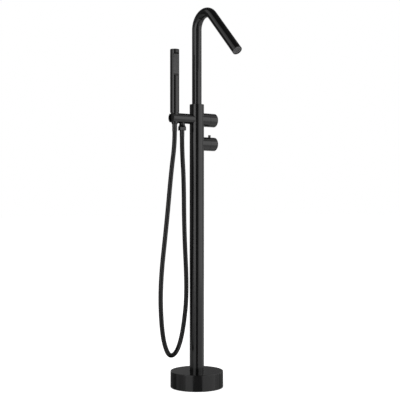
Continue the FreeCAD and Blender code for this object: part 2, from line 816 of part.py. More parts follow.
groove_ring = cut("groove_ring", cylinder(
    "groove_outer", "spout_radius + 1", "spout_groove_width",
    z="spout_groove_height - spout_groove_width / 2"), [cylinder(
        "groove_inner", "groove_floor", "spout_groove_width + 2",
        z="spout_groove_height - spout_groove_width / 2 - 1")])
spout_tube = cut("spout_tube", spout_body, [groove_ring])

nipple_grooves = []
for number in range(2):
    level = "spout_nipple_bottom + %d + oring_cord * %d" % (4 + 4 * number, number)
    nipple_grooves.append((level, "spout_nipple_radius - slip - oring_cord / 2"))
groove_depth_radius = "spout_nipple_radius - 2 * slip - oring_cord"
nipple_section = [
    ("spout_nipple_bore", "spout_nipple_bottom"),
    ("spout_nipple_radius", "spout_nipple_bottom"),
]
for level, _ in nipple_grooves:
    low = level + " - oring_cord / 2 - slip"
    high = level + " + oring_cord / 2 + slip"
    nipple_section += [("spout_nipple_radius", low), (groove_depth_radius, low),
                       (groove_depth_radius, high), ("spout_nipple_radius", high)]
nipple_section += [
    ("spout_nipple_radius", "spout_foot + slip"),
    ("mouth_radius", "spout_foot + slip"),
    ("mouth_radius", "spout_plug_top"),
    ("spout_nipple_bore", "spout_plug_top"),
]
spout_nipple = turned("spout_nipple", nipple_section)
spout_orings = group("spout_orings", [
    ring_cord("spout_oring_%d" % number, ring_radius, "oring_cord / 2", z=level)
    for number, (level, ring_radius) in enumerate(nipple_grooves)])


def at_spout_tip(item):
    """Put a piece made along Z, with its outer face at 0, in the mouth of the spout."""
    item.Placement = FreeCAD.Placement(
        Vector(), FreeCAD.Rotation(Vector(1, 0, 0), read("spout_turn")))
    item.setExpression("Placement.Rotation.Angle", bound("spout_turn * 1 deg"))
    return place(item, "0", tip_x, tip_y)


aerator_housing = at_spout_tip(turned("aerator_housing", [
    ("aerator_radius + slip", "-aerator_depth"),
    ("mouth_radius", "-aerator_depth"),
    ("mouth_radius", "-aerator_inset"),
    ("aerator_radius + slip", "-aerator_inset"),
]))
insert_body = doc.addObject("PartDesign::Body", "aerator_insert")
disc_sketch = sketch_on(insert_body, "XY_Plane", "insert_disc_section")
disc_sketch.addGeometry(Part.Circle(Vector(0, 0, 0), Vector(0, 0, 1), 10))
disc_sketch.addConstraint(Sketcher.Constraint("Coincident", 0, 3, -1, 1))
number = disc_sketch.addConstraint(Sketcher.Constraint("Radius", 0, 10))
disc_sketch.setExpression("Constraints[%d]" % number, bound("aerator_radius"))
disc = insert_body.newObject("PartDesign::Pad", "insert_disc")
disc.Profile = (disc_sketch, [""])
disc.Reversed = True
bind(disc, Length="aerator_depth - aerator_inset - 1")
doc.recompute()
disc_volume = insert_body.Shape.Volume
for ring in range(1, AERATOR_RINGS + 1):
    cell_sketch = sketch_on(insert_body, "XY_Plane", "cell_section_%d" % ring)
    cell_sketch.addGeometry(Part.Circle(Vector(3 * ring, 0, 0), Vector(0, 0, 1), 1))
    number = cell_sketch.addConstraint(Sketcher.Constraint("Radius", 0, 1))
    cell_sketch.setExpression("Constraints[%d]" % number, bound("aerator_cell_radius"))
    hold(cell_sketch, "DistanceX", 0, 3, "aerator_cell_pitch * %d" % ring)
    hold(cell_sketch, "DistanceY", 0, 3, "0")
    cell = insert_body.newObject("PartDesign::Pocket", "cell_%d" % ring)
    cell.Profile = (cell_sketch, [""])
    cell.Type = "ThroughAll"
    doc.recompute()
    spin = insert_body.newObject("PartDesign::PolarPattern", "cell_ring_%d" % ring)
    spin.Originals = [cell]
    spin.Axis = (cell_sketch, ["N_Axis"])
    spin.Angle = 360
    spin.Occurrences = 6 * ring
    insert_body.Tip = spin
    doc.recompute()
print("aerator cells take", round(disc_volume - insert_body.Shape.Volume, 2), "of",
      round(disc_volume, 2))
at_spout_tip(insert_body)
for axis, text in (("y", tip_x + " - (aerator_inset + 0.6) * -sin(spout_turn * 1 deg)"),
                   ("z", tip_y + " - (aerator_inset + 0.6) * cos(spout_turn * 1 deg)")):
    insert_body.setExpression("Placement.Base." + axis, bound(text))
aerator_insert = insert_body


# ---------------------------------------------------------------------------
# Arm: the holder fork at its end, and the hose outlet under it
# ---------------------------------------------------------------------------
arm_blank = turned("arm_blank", [
    ("-arm_reach", "0"),
    ("-arm_reach", "arm_radius"),
    ("-column_radius / 3", "arm_radius"),
    ("-column_radius / 3", "0"),
], "H_Axis", z="upper_axis")
rounded(arm_blank, "arm_edge",
        lambda radius, centre: near(radius, read("arm_radius"))
        and near(centre.x, -read("arm_reach")))

arm_low = "(upper_axis - arm_radius - 1)"
arm_high = "(upper_axis + arm_radius + 1)"
cone_rate = "((nut_top_radius - nut_waist_radius) / (handset_bottom - nut_waist))"


def nut_cone(name, gap):
    """The cone of the hose nut with some room round it, from below the arm to above it."""
    return cone(name,
                "nut_waist_radius + %s + (%s - nut_waist) * %s" % (gap, arm_low, cone_rate),
                "nut_waist_radius + %s + (%s - nut_waist) * %s" % (gap, arm_high, cone_rate),
                "2 * arm_radius + 2", "-holder_place", "0", arm_low)


slot_tool = block("arm_slot", "arm_reach - holder_place + 5", "holder_slot", "2 * arm_radius + 4",
                  "-arm_reach - 5", "-holder_slot / 2", "upper_axis - arm_radius - 2")
arm_tools = [
    cylinder("arm_seat", "column_radius + slip", "4 * arm_radius", z="upper_axis - 2 * arm_radius"),
    cylinder("arm_counterbore", "arm_nipple_radius + slip", "arm_nipple_outer + slip",
             z="upper_axis", along=LEFT),
    cylinder("arm_bore", "arm_bore_radius", "arm_bore_reach", z="upper_axis", along=LEFT),
    cylinder("outlet_port", "outlet_port_radius", "arm_radius + 5", x="-outlet_place",
             z="upper_axis", along=DOWN),
    nut_cone("holder_bore", "free + bush_wall + slip"),
    slot_tool,
]
handset_arm = cut("handset_arm", arm_blank, arm_tools)

bush_outer = nut_cone("bush_outer", "free + bush_wall")
bush_trim = cylinder("bush_trim", "arm_radius", "arm_reach", z="upper_axis", along=LEFT)
bush_rough = doc.addObject("Part::Common", "bush_rough")
bush_rough.Base = bush_outer
bush_rough.Tool = bush_trim
bush_slot = block("bush_slot", "arm_reach - holder_place + 5", "holder_slot + 2 * slip",
                  "2 * arm_radius + 4", "-arm_reach - 5", "-holder_slot / 2 - slip",
                  "upper_axis - arm_radius - 2")
holder_bush = cut("holder_bush", bush_rough, [nut_cone("bush_inner", "free"), bush_slot])

arm_nipple = cut("arm_nipple", cylinder(
    "arm_nipple_bar", "arm_nipple_radius", "arm_nipple_outer - arm_nipple_inner - slip",
    x="-arm_nipple_inner - slip", z="upper_axis", along=LEFT), [cylinder(
        "arm_nipple_hole", "arm_nipple_bore", "arm_nipple_outer + 1", z="upper_axis",
        along=LEFT)])

outlet_blank = turned("outlet_blank", [
    ("0", "upper_axis - arm_bore_radius - 2"),
    ("outlet_port_radius - slip", "upper_axis - arm_bore_radius - 2"),
    ("outlet_port_radius - slip", "upper_axis - arm_radius + 0.5"),
    ("outlet_stem_radius", "upper_axis - arm_radius + 0.5"),
    ("outlet_stem_radius", "outlet_cone_top"),
    ("outlet_cone_radius", "outlet_cone_bottom"),
    ("outlet_thread_radius", "outlet_cone_bottom"),
    ("outlet_thread_radius", "outlet_tail_bottom"),
    ("0", "outlet_tail_bottom"),
], x="-outlet_place")
outlet_room = cylinder("outlet_room", "arm_radius + slip", "2 * outlet_cone_radius",
                       x="-outlet_place + outlet_cone_radius", z="upper_axis", along=LEFT)
outlet_stem_keep = cylinder("outlet_stem_keep", "outlet_port_radius - slip", "2 * arm_radius",
                            x="-outlet_place", z="upper_axis - 2 * arm_radius")
outlet_room_round = cut("outlet_room_round", outlet_room, [outlet_stem_keep])
check_room_bottom = "outlet_tail_bottom + check_valve_floor"
outlet_nipple = cut("outlet_nipple", outlet_blank, [
    outlet_room_round,
    cylinder("outlet_way", "check_valve_radius - 1.2", "arm_radius * 2", x="-outlet_place",
             z="outlet_tail_bottom - 1"),
    cylinder("check_valve_room", "check_valve_radius + slip", "arm_radius * 2",
             x="-outlet_place", z=check_room_bottom),
])
check_valve = cut("check_valve", cylinder(
    "check_valve_plug", "check_valve_radius", "check_valve_length", x="-outlet_place",
    z=check_room_bottom + " + slip"), [cylinder(
        "check_valve_way", "check_valve_radius / 2", "check_valve_length + 2",
        x="-outlet_place", z=check_room_bottom + " - 1")])


# ---------------------------------------------------------------------------
# Hose fittings
# ---------------------------------------------------------------------------
hex_blank = doc.addObject("Part::Prism", "hex_blank")
hex_blank.Polygon = 6
bind(hex_blank, Circumradius="hex_width / sqrt(3)", Height="outlet_cone_bottom - hex_bottom")
place(hex_blank, "-outlet_place", "0", "hex_bottom")
hose_hex_nut = cut("hose_hex_nut", hex_blank, [
    cylinder("hex_hole", "ferrule_radius + slip", "hex_floor + 2", x="-outlet_place",
             z="hex_bottom - 1"),
    cylinder("hex_bore", "outlet_thread_radius + slip", "outlet_cone_bottom",
             x="-outlet_place", z="hex_bottom + hex_floor"),
])

flange_level = "hex_bottom + hex_floor + slip"
ferrule_way = "hose_bore_radius"
outlet_ferrule_section = [
    (ferrule_way, "ferrule_bottom"),
    ("ferrule_radius", "ferrule_bottom"),
]
CRIMPS = 3
for crimp in range(CRIMPS):
    low = "ferrule_bottom + crimp_pitch * %d + crimp_start" % crimp
    high = low + " + crimp_width"
    outlet_ferrule_section += [("ferrule_radius", low), ("ferrule_radius - crimp_depth", low),
                               ("ferrule_radius - crimp_depth", high), ("ferrule_radius", high)]
outlet_ferrule_section += [
    ("ferrule_radius", flange_level),
    ("ferrule_flange_radius", flange_level),
    ("ferrule_flange_radius", flange_level + " + ferrule_flange_thick"),
    (ferrule_way, flange_level + " + ferrule_flange_thick"),
]
outlet_ferrule = turned("outlet_ferrule", outlet_ferrule_section, x="-outlet_place")
washer_level = flange_level + " + ferrule_flange_thick + slip"
washer_high = "outlet_tail_bottom - slip"
hose_washer = turned("hose_washer", [
    ("washer_bore", washer_level),
    ("ferrule_flange_radius", washer_level),
    ("ferrule_flange_radius", washer_high),
    ("washer_bore", washer_high),
], x="-outlet_place")

hose_cone_nut = turned("hose_cone_nut", [
    ("nut_hole_radius", "nut_foot"),
    ("nut_foot_radius", "nut_foot"),
    ("nut_waist_radius", "nut_waist"),
    ("nut_top_radius", "handset_bottom - slip"),
    ("nut_bore_radius", "handset_bottom - slip"),
    ("nut_bore_radius", "nut_floor_top"),
    ("nut_hole_radius", "nut_floor_top"),
], x="-holder_place")
top_flange = "nut_floor_top + free"
handset_ferrule_section = [
    (ferrule_way, "top_ferrule_bottom"),
    ("top_ferrule_radius", "top_ferrule_bottom"),
]
for crimp in range(CRIMPS):
    low = "top_ferrule_bottom + crimp_pitch * %d + crimp_start" % crimp
    high = low + " + crimp_width"
    handset_ferrule_section += [
        ("top_ferrule_radius", low), ("top_ferrule_radius - crimp_depth", low),
        ("top_ferrule_radius - crimp_depth", high), ("top_ferrule_radius", high)]
handset_ferrule_section += [
    ("top_ferrule_radius", top_flange),
    ("ferrule_flange_radius", top_flange),
    ("ferrule_flange_radius", top_flange + " + ferrule_flange_thick"),
    (ferrule_way, top_flange + " + ferrule_flange_thick"),
]
handset_ferrule = turned("handset_ferrule", handset_ferrule_section, x="-holder_place")
filter_low = top_flange + " + ferrule_flange_thick + free"
filter_washer = turned("filter_washer", [
    ("0", filter_low),
    ("ferrule_flange_radius", filter_low),
    ("ferrule_flange_radius", "handset_nipple_bottom - slip"),
    ("0", "handset_nipple_bottom - slip"),
], x="-holder_place")


# ---------------------------------------------------------------------------
# Handset: a round stick with a spray plate let into a flat near its top
# ---------------------------------------------------------------------------
cap_level = "handset_top - handset_cap_thick"
stick_blank = turned("stick_blank", [
    ("handset_nipple_radius + slip", "handset_bottom"),
    ("handset_radius", "handset_bottom"),
    ("handset_radius", cap_level),
    ("handset_bore", cap_level),
    ("handset_bore", "handset_bottom + handset_floor + nipple_flange_thick + 2 * slip"),
    ("handset_nipple_flange + slip",
     "handset_bottom + handset_floor + nipple_flange_thick + 2 * slip"),
    ("handset_nipple_flange + slip", "handset_bottom + handset_floor"),
    ("handset_nipple_radius + slip", "handset_bottom + handset_floor"),
])
flat_body = doc.addObject("PartDesign::Body", "flat_tool")
flat_sketch = sketch_on(flat_body, "YZ_Plane", "flat_section")
outline(flat_sketch, [
    ("-flat_offset", "flat_bottom"),
    ("-flat_offset", "flat_top"),
    ("-handset_radius - 2",
     "flat_top + flat_run_out_high * (handset_radius + 2 - flat_offset)"
     " / (handset_radius - flat_offset)"),
    ("-handset_radius - 2",
     "flat_bottom - flat_run_out_low * (handset_radius + 2 - flat_offset)"
     " / (handset_radius - flat_offset)"),
])
flat_pad = flat_body.newObject("PartDesign::Pad", "flat_pad")
flat_pad.Profile = (flat_sketch, [""])
flat_pad.Midplane = True
bind(flat_pad, Length="4 * handset_radius")
recess_depth = "(plate_thick + mat_thick + 3 * slip)"
plate_recess = block("plate_recess", "2 * (plate_half_width + slip)", recess_depth,
                     "plate_top - plate_bottom + 2 * slip",
                     "-plate_half_width - slip", "-flat_offset", "plate_bottom - slip")
spray_chamber = block("spray_chamber", "2 * chamber_half_width", "chamber_depth",
                      "plate_top - plate_bottom - 4", "-chamber_half_width",
                      "-flat_offset + %s - 1" % recess_depth, "plate_bottom + 2")
handset_body = cut("handset_body", stick_blank, [flat_body, plate_recess, spray_chamber])
place(handset_body, "-holder_place")

handset_cap = turned("handset_cap", [
    ("0", "handset_top"),
    ("handset_radius", "handset_top"),
    ("handset_radius", cap_level + " + slip"),
    ("handset_bore - slip", cap_level + " + slip"),
    ("handset_bore - slip", cap_level + " - handset_cap_spigot"),
    ("0", cap_level + " - handset_cap_spigot"),
], x="-holder_place")
rounded(handset_cap, "handset_edge",
        lambda radius, centre: near(radius, read("handset_radius"))
        and near(centre.z, read("handset_top")))

nipple_top = "handset_bottom + handset_floor + slip + nipple_flange_thick"
handset_nipple = turned("handset_nipple", [
    ("handset_nipple_bore", "handset_nipple_bottom"),
    ("handset_nipple_radius", "handset_nipple_bottom"),
    ("handset_nipple_radius", "handset_bottom + handset_floor + slip"),
    ("handset_nipple_flange", "handset_bottom + handset_floor + slip"),
    ("handset_nipple_flange", nipple_top),
    ("handset_nipple_bore", nipple_top),
], x="-holder_place")
water_tube = turned("water_tube", [
    ("handset_nipple_bore", nipple_top + " + slip"),
    ("handset_bore - slip", nipple_top + " + slip"),
    ("handset_bore - slip", "plate_bottom - 2"),
    ("handset_nipple_bore", "plate_bottom - 2"),
], x="-holder_place")


def nozzle_pattern(body, name, kind, radius, depth, level, reverse):
    """Round nozzles or their holes: rows and columns, with every second column set between."""
    for columns, rows, first_column, first_row in (
            (3, FRONT_ROWS, "-2 * nozzle_column", "-nozzle_pitch * %d" % ((FRONT_ROWS - 1) // 2)),
            (2, BACK_ROWS, "-nozzle_column", "-nozzle_pitch * %g" % ((BACK_ROWS - 1) / 2))):
        seed = sketch_on(body, "XZ_Plane", "%s_seed_%d" % (name, columns))
        seed.setExpression("AttachmentOffset.Base.z", bound(level))
        seed.addGeometry(Part.Circle(Vector(1, 1, 0), Vector(0, 0, 1), 1))
        number = seed.addConstraint(Sketcher.Constraint("Radius", 0, 1))
        seed.setExpression("Constraints[%d]" % number, bound(radius))
        hold(seed, "DistanceX", 0, 3, first_column)
        hold(seed, "DistanceY", 0, 3, "nozzle_middle + (%s)" % first_row)
        feature = body.newObject(kind, "%s_first_%d" % (name, columns))
        feature.Profile = (seed, [""])
        feature.Reversed = reverse
        bind(feature, Length=depth)
        doc.recompute()
        pattern = body.newObject("PartDesign::MultiTransform", "%s_field_%d" % (name, columns))
        pattern.Originals = [feature]
        steps = []
        for axis, count, pitch in (("V_Axis", rows, "nozzle_pitch"),
                                   ("H_Axis", columns, "2 * nozzle_column")):
            line = body.newObject("PartDesign::LinearPattern", "%s_%s_%d" % (name, axis, columns))
            line.Direction = (seed, [axis])
            line.Occurrences = count
            bind(line, Length="%s * %d" % (pitch, count - 1))
            steps.append(line)
        pattern.Transformations = steps
        body.Tip = pattern
        doc.recompute()


def plate_blank(name, half_width, low, high, front, thick):
    """A flat rectangular plate that lies behind a plane in front of the handset's axis."""
    body = doc.addObject("PartDesign::Body", name)
    sketch = sketch_on(body, "XZ_Plane", name + "_face")
    sketch.setExpression("AttachmentOffset.Base.z", bound(front))
    outline(sketch, [("-" + half_width, low), (half_width, low), (half_width, high),
                     ("-" + half_width, high)])
    pad = body.newObject("PartDesign::Pad", name + "_sheet")
    pad.Profile = (sketch, [""])
    pad.Reversed = True
    bind(pad, Length=thick)
    doc.recompute()
    return body


spray_plate = plate_blank("spray_plate", "plate_half_width", "plate_bottom", "plate_top",
                          "flat_offset", "plate_thick")
nozzle_pattern(spray_plate, "plate_hole", "PartDesign::Pocket", "nozzle_radius + slip",
               "plate_thick + 1", "flat_offset", False)
place(spray_plate, "-holder_place")
nozzle_mat = plate_blank("nozzle_mat", "(plate_half_width - slip)", "plate_bottom + slip",
                         "plate_top - slip", "flat_offset - plate_thick - slip", "mat_thick")
nozzle_pattern(nozzle_mat, "nozzle", "PartDesign::Pad", "nozzle_radius",
               "plate_thick + slip + nozzle_stand", "flat_offset - plate_thick - slip", False)
place(nozzle_mat, "-holder_place")


# ---------------------------------------------------------------------------
# Hose: a tube along straight runs joined by tangent arcs
# ---------------------------------------------------------------------------
def hose_path(points):
    """The route's wire and its length; each arc is as large as its two runs allow."""
    edges = []
    radii = []
    here = points[0]
    for before, corner, after in zip(points, points[1:], points[2:]):
        come = corner - before
        leave = after - corner
        half = come.getAngle(leave) / 2
        reach = 0.45 * min(come.Length, leave.Length)
        radii.append(reach / math.tan(half))
        enter = corner - come.normalize() * reach
        exit_point = corner + leave.normalize() * reach
        inward = (enter + exit_point) * 0.5 - corner
        inward.normalize()
        middle = corner + inward * (radii[-1] / math.cos(half) - radii[-1])
        edges.append(Part.LineSegment(here, enter).toShape())
        edges.append(Part.Arc(enter, middle, exit_point).toShape())
        here = exit_point
    edges.append(Part.LineSegment(here, points[-1]).toShape())
    wire = Part.Wire(edges)
    print("hose arcs, smallest first:", [round(radius, 1) for radius in sorted(radii)])
    return wire


route = [Vector(*point) for point in HOSE_ROUTE]
hose_wire = hose_path(route)
hose_section = Part.Wire([Part.makeCircle(read("hose_radius"), route[0],
                                          (route[1] - route[0]).normalize())])
hose = doc.addObject("Part::Feature", "hose")
hose.Shape = hose_wire.makePipeShell([hose_section], True, False)
hose_section_area = math.pi * read("hose_radius") ** 2
print("hose length", round(hose_wire.Length, 1), "volume over section times length",
      round(hose.Shape.Volume / (hose_section_area * hose_wire.Length), 4))


# ---------------------------------------------------------------------------
# Check every object and write one file for each sub-part
# ---------------------------------------------------------------------------
SUB_PARTS = [
    base_cover, base_seal, floor_flange, flange_seal, column_screws, column_tube, column_cap,
    swivel_bush, spout_screw, valve_body, pipes[0], pipes[1], flow_cartridge,
    thermostat_cartridge, cartridge_nuts, upper_sleeve, lower_sleeve, stop_ring, flow_handle,
    temperature_handle, safety_button, button_spring, spout_tube, spout_nipple, spout_orings,
    aerator_housing, aerator_insert, handset_arm, holder_bush, arm_nipple, outlet_nipple,
    check_valve, hose_hex_nut, outlet_ferrule, hose_washer, hose_cone_nut, handset_ferrule,
    filter_washer, handset_body, handset_cap, handset_nipple, water_tube, spray_plate,
    nozzle_mat, hose,
] + list(turning_pieces.values())

doc.recompute()
for item in doc.Objects:
    if "Invalid" in item.State or "Error" in item.State:
        raise RuntimeError("%s is %s" % (item.Label, item.State))
for item in SUB_PARTS:
    if item.Shape.isNull() or not item.Shape.isValid():
        raise RuntimeError("%s has no valid shape" % item.Label)
for item in SUB_PARTS:
    item.Shape.exportStep("parts/%s.step" % item.Label)
print(len(SUB_PARTS), "sub-parts written")
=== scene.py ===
import math

import bmesh
import bpy
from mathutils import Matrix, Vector


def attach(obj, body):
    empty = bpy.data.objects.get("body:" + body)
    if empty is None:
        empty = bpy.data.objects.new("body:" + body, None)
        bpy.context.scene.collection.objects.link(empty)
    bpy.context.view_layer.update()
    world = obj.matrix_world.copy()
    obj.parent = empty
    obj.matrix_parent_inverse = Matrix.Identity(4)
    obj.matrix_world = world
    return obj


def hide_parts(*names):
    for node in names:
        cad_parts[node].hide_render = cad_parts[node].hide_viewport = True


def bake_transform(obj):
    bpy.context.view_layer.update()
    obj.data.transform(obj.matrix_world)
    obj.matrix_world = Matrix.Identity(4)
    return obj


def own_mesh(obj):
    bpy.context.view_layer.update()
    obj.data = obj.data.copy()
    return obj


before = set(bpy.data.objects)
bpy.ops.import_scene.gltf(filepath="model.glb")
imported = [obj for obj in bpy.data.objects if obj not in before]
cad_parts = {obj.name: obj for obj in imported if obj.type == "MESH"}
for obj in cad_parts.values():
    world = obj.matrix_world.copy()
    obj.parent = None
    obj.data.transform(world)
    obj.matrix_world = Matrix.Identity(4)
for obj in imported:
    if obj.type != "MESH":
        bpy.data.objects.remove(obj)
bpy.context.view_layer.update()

# ---------------------------------------------------------------------------
# Base cover
# A shallow cup of spun steel, upside down, powder coated in a satin black.
# It slides down the column and hides the flange that is bolted to the floor.
# ---------------------------------------------------------------------------
MM = 0.001                       # sizes are in millimetres, and Blender works in metres
NEAR = 0.01                      # a point this close to a place is at it
BASE_RADIUS = 82
BASE_HEIGHT = 50
BASE_WALL = 3
BASE_HOLE = 22.8
BASE_EDGE = 1.5
BASE_FINE_EDGE = 0.4


def alone(piece):
    """Select one piece and nothing else."""
    bpy.ops.object.select_all(action="DESELECT")
    piece.select_set(True)
    bpy.context.view_layer.objects.active = piece


def placed(piece, at=(0, 0, 0), tilt=(0, 0, 0)):
    """Tilt a piece by degrees, then move it by millimetres, in its mesh and not in its object."""
    alone(piece)
    piece.rotation_euler = [math.radians(angle) for angle in tilt]
    piece.location = [length * MM for length in at]
    bpy.ops.object.transform_apply(location=True, rotation=True, scale=True)
    return piece


def rounded(piece, width, steps, where):
    """Round the edges whose ends are both where the test on a point in millimetres says."""
    alone(piece)
    bpy.ops.object.mode_set(mode="EDIT")
    bpy.ops.mesh.select_mode(type="EDGE")
    bpy.ops.mesh.select_all(action="DESELECT")
    mesh = bmesh.from_edit_mesh(piece.data)
    for edge in mesh.edges:
        if all(where(*(vertex.co / MM)) for vertex in edge.verts):
            edge.select_set(True)
    bmesh.update_edit_mesh(piece.data)
    bpy.ops.mesh.bevel(offset=width * MM, segments=steps, affect="EDGES")
    bpy.ops.mesh.select_mode(type="VERT")
    bpy.ops.object.mode_set(mode="OBJECT")
    return piece


def turned(name, profile, sides=96, at=(0, 0, 0), tilt=(0, 0, 0), rounds=()):
    """A lathe-turned piece: a ring is drawn out and resized from each (radius, height) to the next.

    A profile that comes back to its first ring makes a hollow piece. Any other is closed by its
    first and last rings, as flat discs. Each round names a ring by its radius and height, and
    then the width and the steps of its rounded edge. The piece is made upright and then placed.
    """
    hollow = profile[0] == profile[-1]
    radius, height = profile[0]
    bpy.ops.object.select_all(action="DESELECT")
    bpy.ops.mesh.primitive_circle_add(
        vertices=sides, radius=radius * MM, fill_type="NOTHING" if hollow else "NGON")
    piece = bpy.context.object
    piece.name = piece.data.name = name
    bpy.ops.object.mode_set(mode="EDIT")
    bpy.ops.mesh.select_all(action="SELECT")
    bpy.ops.transform.translate(value=(0, 0, height * MM))
    for next_radius, next_height in profile[1:]:
        rise = (0, 0, (next_height - height) * MM)
        bpy.ops.mesh.extrude_region_move(TRANSFORM_OT_translate={"value": rise})
        share = next_radius / radius
        bpy.ops.transform.resize(
            value=(share, share, 1), center_override=(0, 0, next_height * MM))
        radius, height = next_radius, next_height
    bpy.ops.mesh.select_all(action="SELECT")
    bpy.ops.mesh.remove_doubles(threshold=1e-6)
    bpy.ops.mesh.normals_make_consistent(inside=False)
    bpy.ops.object.mode_set(mode="OBJECT")
    for ring_radius, ring_height, width, steps in rounds:
        rounded(piece, width, steps, lambda x, y, z: (
            abs(math.hypot(x, y) - ring_radius) < NEAR and abs(z - ring_height) < NEAR))
    return placed(piece, at, tilt)


def smoothed(piece, angle=32):
    """Shade the curved faces smooth, keep the wide faces flat and leave the real edges crisp."""
    alone(piece)
    bpy.ops.object.shade_smooth_by_angle(angle=math.radians(angle))
    leaning = piece.modifiers.new("leaning", "WEIGHTED_NORMAL")
    leaning.keep_sharp = True
    bpy.ops.object.modifier_apply(modifier=leaning.name)
    return piece


def noise(nodes, links, place, scale, detail):
    """Noise over the piece: the scale is how many blotches fit in a metre."""
    texture = nodes.new("ShaderNodeTexNoise")
    texture.inputs["Scale"].default_value = scale
    texture.inputs["Detail"].default_value = detail
    links.new(place, texture.inputs["Vector"])
    return texture.outputs["Fac"]


def spread(nodes, links, source, low, high):
    """Bring a noise, which keeps near one half, to run from a low value to a high one."""
    span = nodes.new("ShaderNodeMapRange")
    for socket, value in (("From Min", 0.3), ("From Max", 0.7), ("To Min", low), ("To Max", high)):
        span.inputs[socket].default_value = value
    links.new(source, span.inputs["Value"])
    return span.outputs["Result"]


def shades(nodes, links, source, dark, light):
    """A colour that wanders between two shades."""
    mix = nodes.new("ShaderNodeMix")
    mix.data_type = "RGBA"
    mix.inputs["A"].default_value = (*dark, 1)
    mix.inputs["B"].default_value = (*light, 1)
    links.new(source, mix.inputs["Factor"])
    return mix.outputs["Result"]


def finish_of(name, dark, light, rough, grain, depth, metallic=0.0, specular=0.5):
    """A finish: two shades, a range of roughness, the grains in a metre and their depth in mm."""
    material = bpy.data.materials.new(name)
    material.use_nodes = True
    nodes, links = material.node_tree.nodes, material.node_tree.links
    place = nodes.new("ShaderNodeTexCoord").outputs["Object"]
    fine = noise(nodes, links, place, grain, detail=3)
    broad = noise(nodes, links, place, scale=22, detail=4)
    shader = nodes["Principled BSDF"]
    links.new(shades(nodes, links, spread(nodes, links, broad, 0, 1), dark, light),
              shader.inputs["Base Color"])
    links.new(spread(nodes, links, broad, *rough), shader.inputs["Roughness"])
    shader.inputs["Metallic"].default_value = metallic
    shader.inputs["Specular IOR Level"].default_value = specular
    bump = nodes.new("ShaderNodeBump")
    bump.inputs["Distance"].default_value = depth * MM
    bump.inputs["Strength"].default_value = 0.5
    links.new(fine, bump.inputs["Height"])
    links.new(bump.outputs["Normal"], shader.inputs["Normal"])
    return material


def dressed(piece, body, material, node):
    """Give a finished piece its material and its body, and hide the solid that it stands for."""
    piece.data.materials.clear()
    piece.data.materials.append(material)
    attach(piece, body)
    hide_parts(node)
    return piece


powder_coat = finish_of("black powder coat", dark=(0.0018, 0.0018, 0.0019),
                        light=(0.003, 0.003, 0.0031), rough=(0.15, 0.19), grain=1500,
                        depth=0.006, specular=0.33)

base_inside = BASE_RADIUS - BASE_WALL
base_ceiling = BASE_HEIGHT - BASE_WALL
base_cover = turned("base_cover_piece", [
    (BASE_HOLE, BASE_HEIGHT), (BASE_RADIUS, BASE_HEIGHT), (BASE_RADIUS, 0), (base_inside, 0),
    (base_inside, base_ceiling), (BASE_HOLE, base_ceiling), (BASE_HOLE, BASE_HEIGHT)],
    sides=192, rounds=[(BASE_RADIUS, BASE_HEIGHT, BASE_EDGE, 4),
                       (BASE_HOLE, BASE_HEIGHT, BASE_FINE_EDGE, 2),
                       (BASE_RADIUS, 0, BASE_FINE_EDGE, 2)])
smoothed(base_cover)
dressed(base_cover, "stand", powder_coat, "base_cover")

# ---------------------------------------------------------------------------
# Column
# A length of 45 mm tube, coated like the base, with a turned ring let into its
# top. The ring holds the plastic bush that the spout turns in.
# ---------------------------------------------------------------------------
COLUMN_RADIUS = 22.5
COLUMN_BORE = 20.5
COLUMN_FOOT = 8
COLUMN_TOP = 874
COLUMN_EDGE = 0.3
CAP_TOP = COLUMN_TOP + 3.6
CAP_FOOT = COLUMN_TOP - 10.5
CAP_SPIGOT = 20.4
CAP_SEAT = 17.6
CAP_HOLE = 15.3
CAP_EDGE = 0.5
CAP_HOLE_EDGE = 0.3
CAP_SEAM_EDGE = 0.25


def tube(bore, radius, low, high):
    """The profile of a plain tube, or of a ring."""
    return [(bore, low), (radius, low), (radius, high), (bore, high), (bore, low)]


column = turned("column_piece", tube(COLUMN_BORE, COLUMN_RADIUS, COLUMN_FOOT, COLUMN_TOP),
                sides=144, rounds=[(COLUMN_RADIUS, COLUMN_TOP, COLUMN_EDGE, 2)])
smoothed(column)
dressed(column, "stand", powder_coat, "column_tube")

column_cap = turned("column_cap_piece", [
    (CAP_HOLE, CAP_TOP), (COLUMN_RADIUS, CAP_TOP), (COLUMN_RADIUS, COLUMN_TOP),
    (CAP_SPIGOT, COLUMN_TOP), (CAP_SPIGOT, CAP_FOOT), (CAP_SEAT, CAP_FOOT),
    (CAP_SEAT, COLUMN_TOP), (CAP_HOLE, COLUMN_TOP), (CAP_HOLE, CAP_TOP)],
    sides=144, rounds=[(COLUMN_RADIUS, CAP_TOP, CAP_EDGE, 3),
                       (CAP_HOLE, CAP_TOP, CAP_HOLE_EDGE, 2),
                       (COLUMN_RADIUS, COLUMN_TOP, CAP_SEAM_EDGE, 2)])
smoothed(column_cap)
dressed(column_cap, "stand", powder_coat, "column_cap")

# ---------------------------------------------------------------------------
# Control sleeves
# Two short tubes that stand out from the column's side, each with its root
# cut to the round of the column. A ring nut inside pulls each one home.
# ---------------------------------------------------------------------------
FLOW_AXIS = 831
TEMPERATURE_AXIS = 756
POINT_RIGHT = (0, 90, 0)
CONTROL_RADIUS = 21.25
SLEEVE_BORE = 18.45
SLEEVE_ROOT = 4
SLEEVE_REACH = 39.6
SLEEVE_EDGE = 0.25
ROOT_CUT_RADIUS = COLUMN_RADIUS + 0.05
ROOT_CUT_LENGTH = 80


def cut(piece, cutter, operation):
    """Work a cutter into a piece, and take the cutter off the bench."""
    alone(piece)
    saw = piece.modifiers.new("saw", "BOOLEAN")
    saw.object = cutter
    saw.operation = operation
    saw.solver = "EXACT"
    bpy.ops.object.modifier_apply(modifier=saw.name)
    bpy.data.objects.remove(cutter)


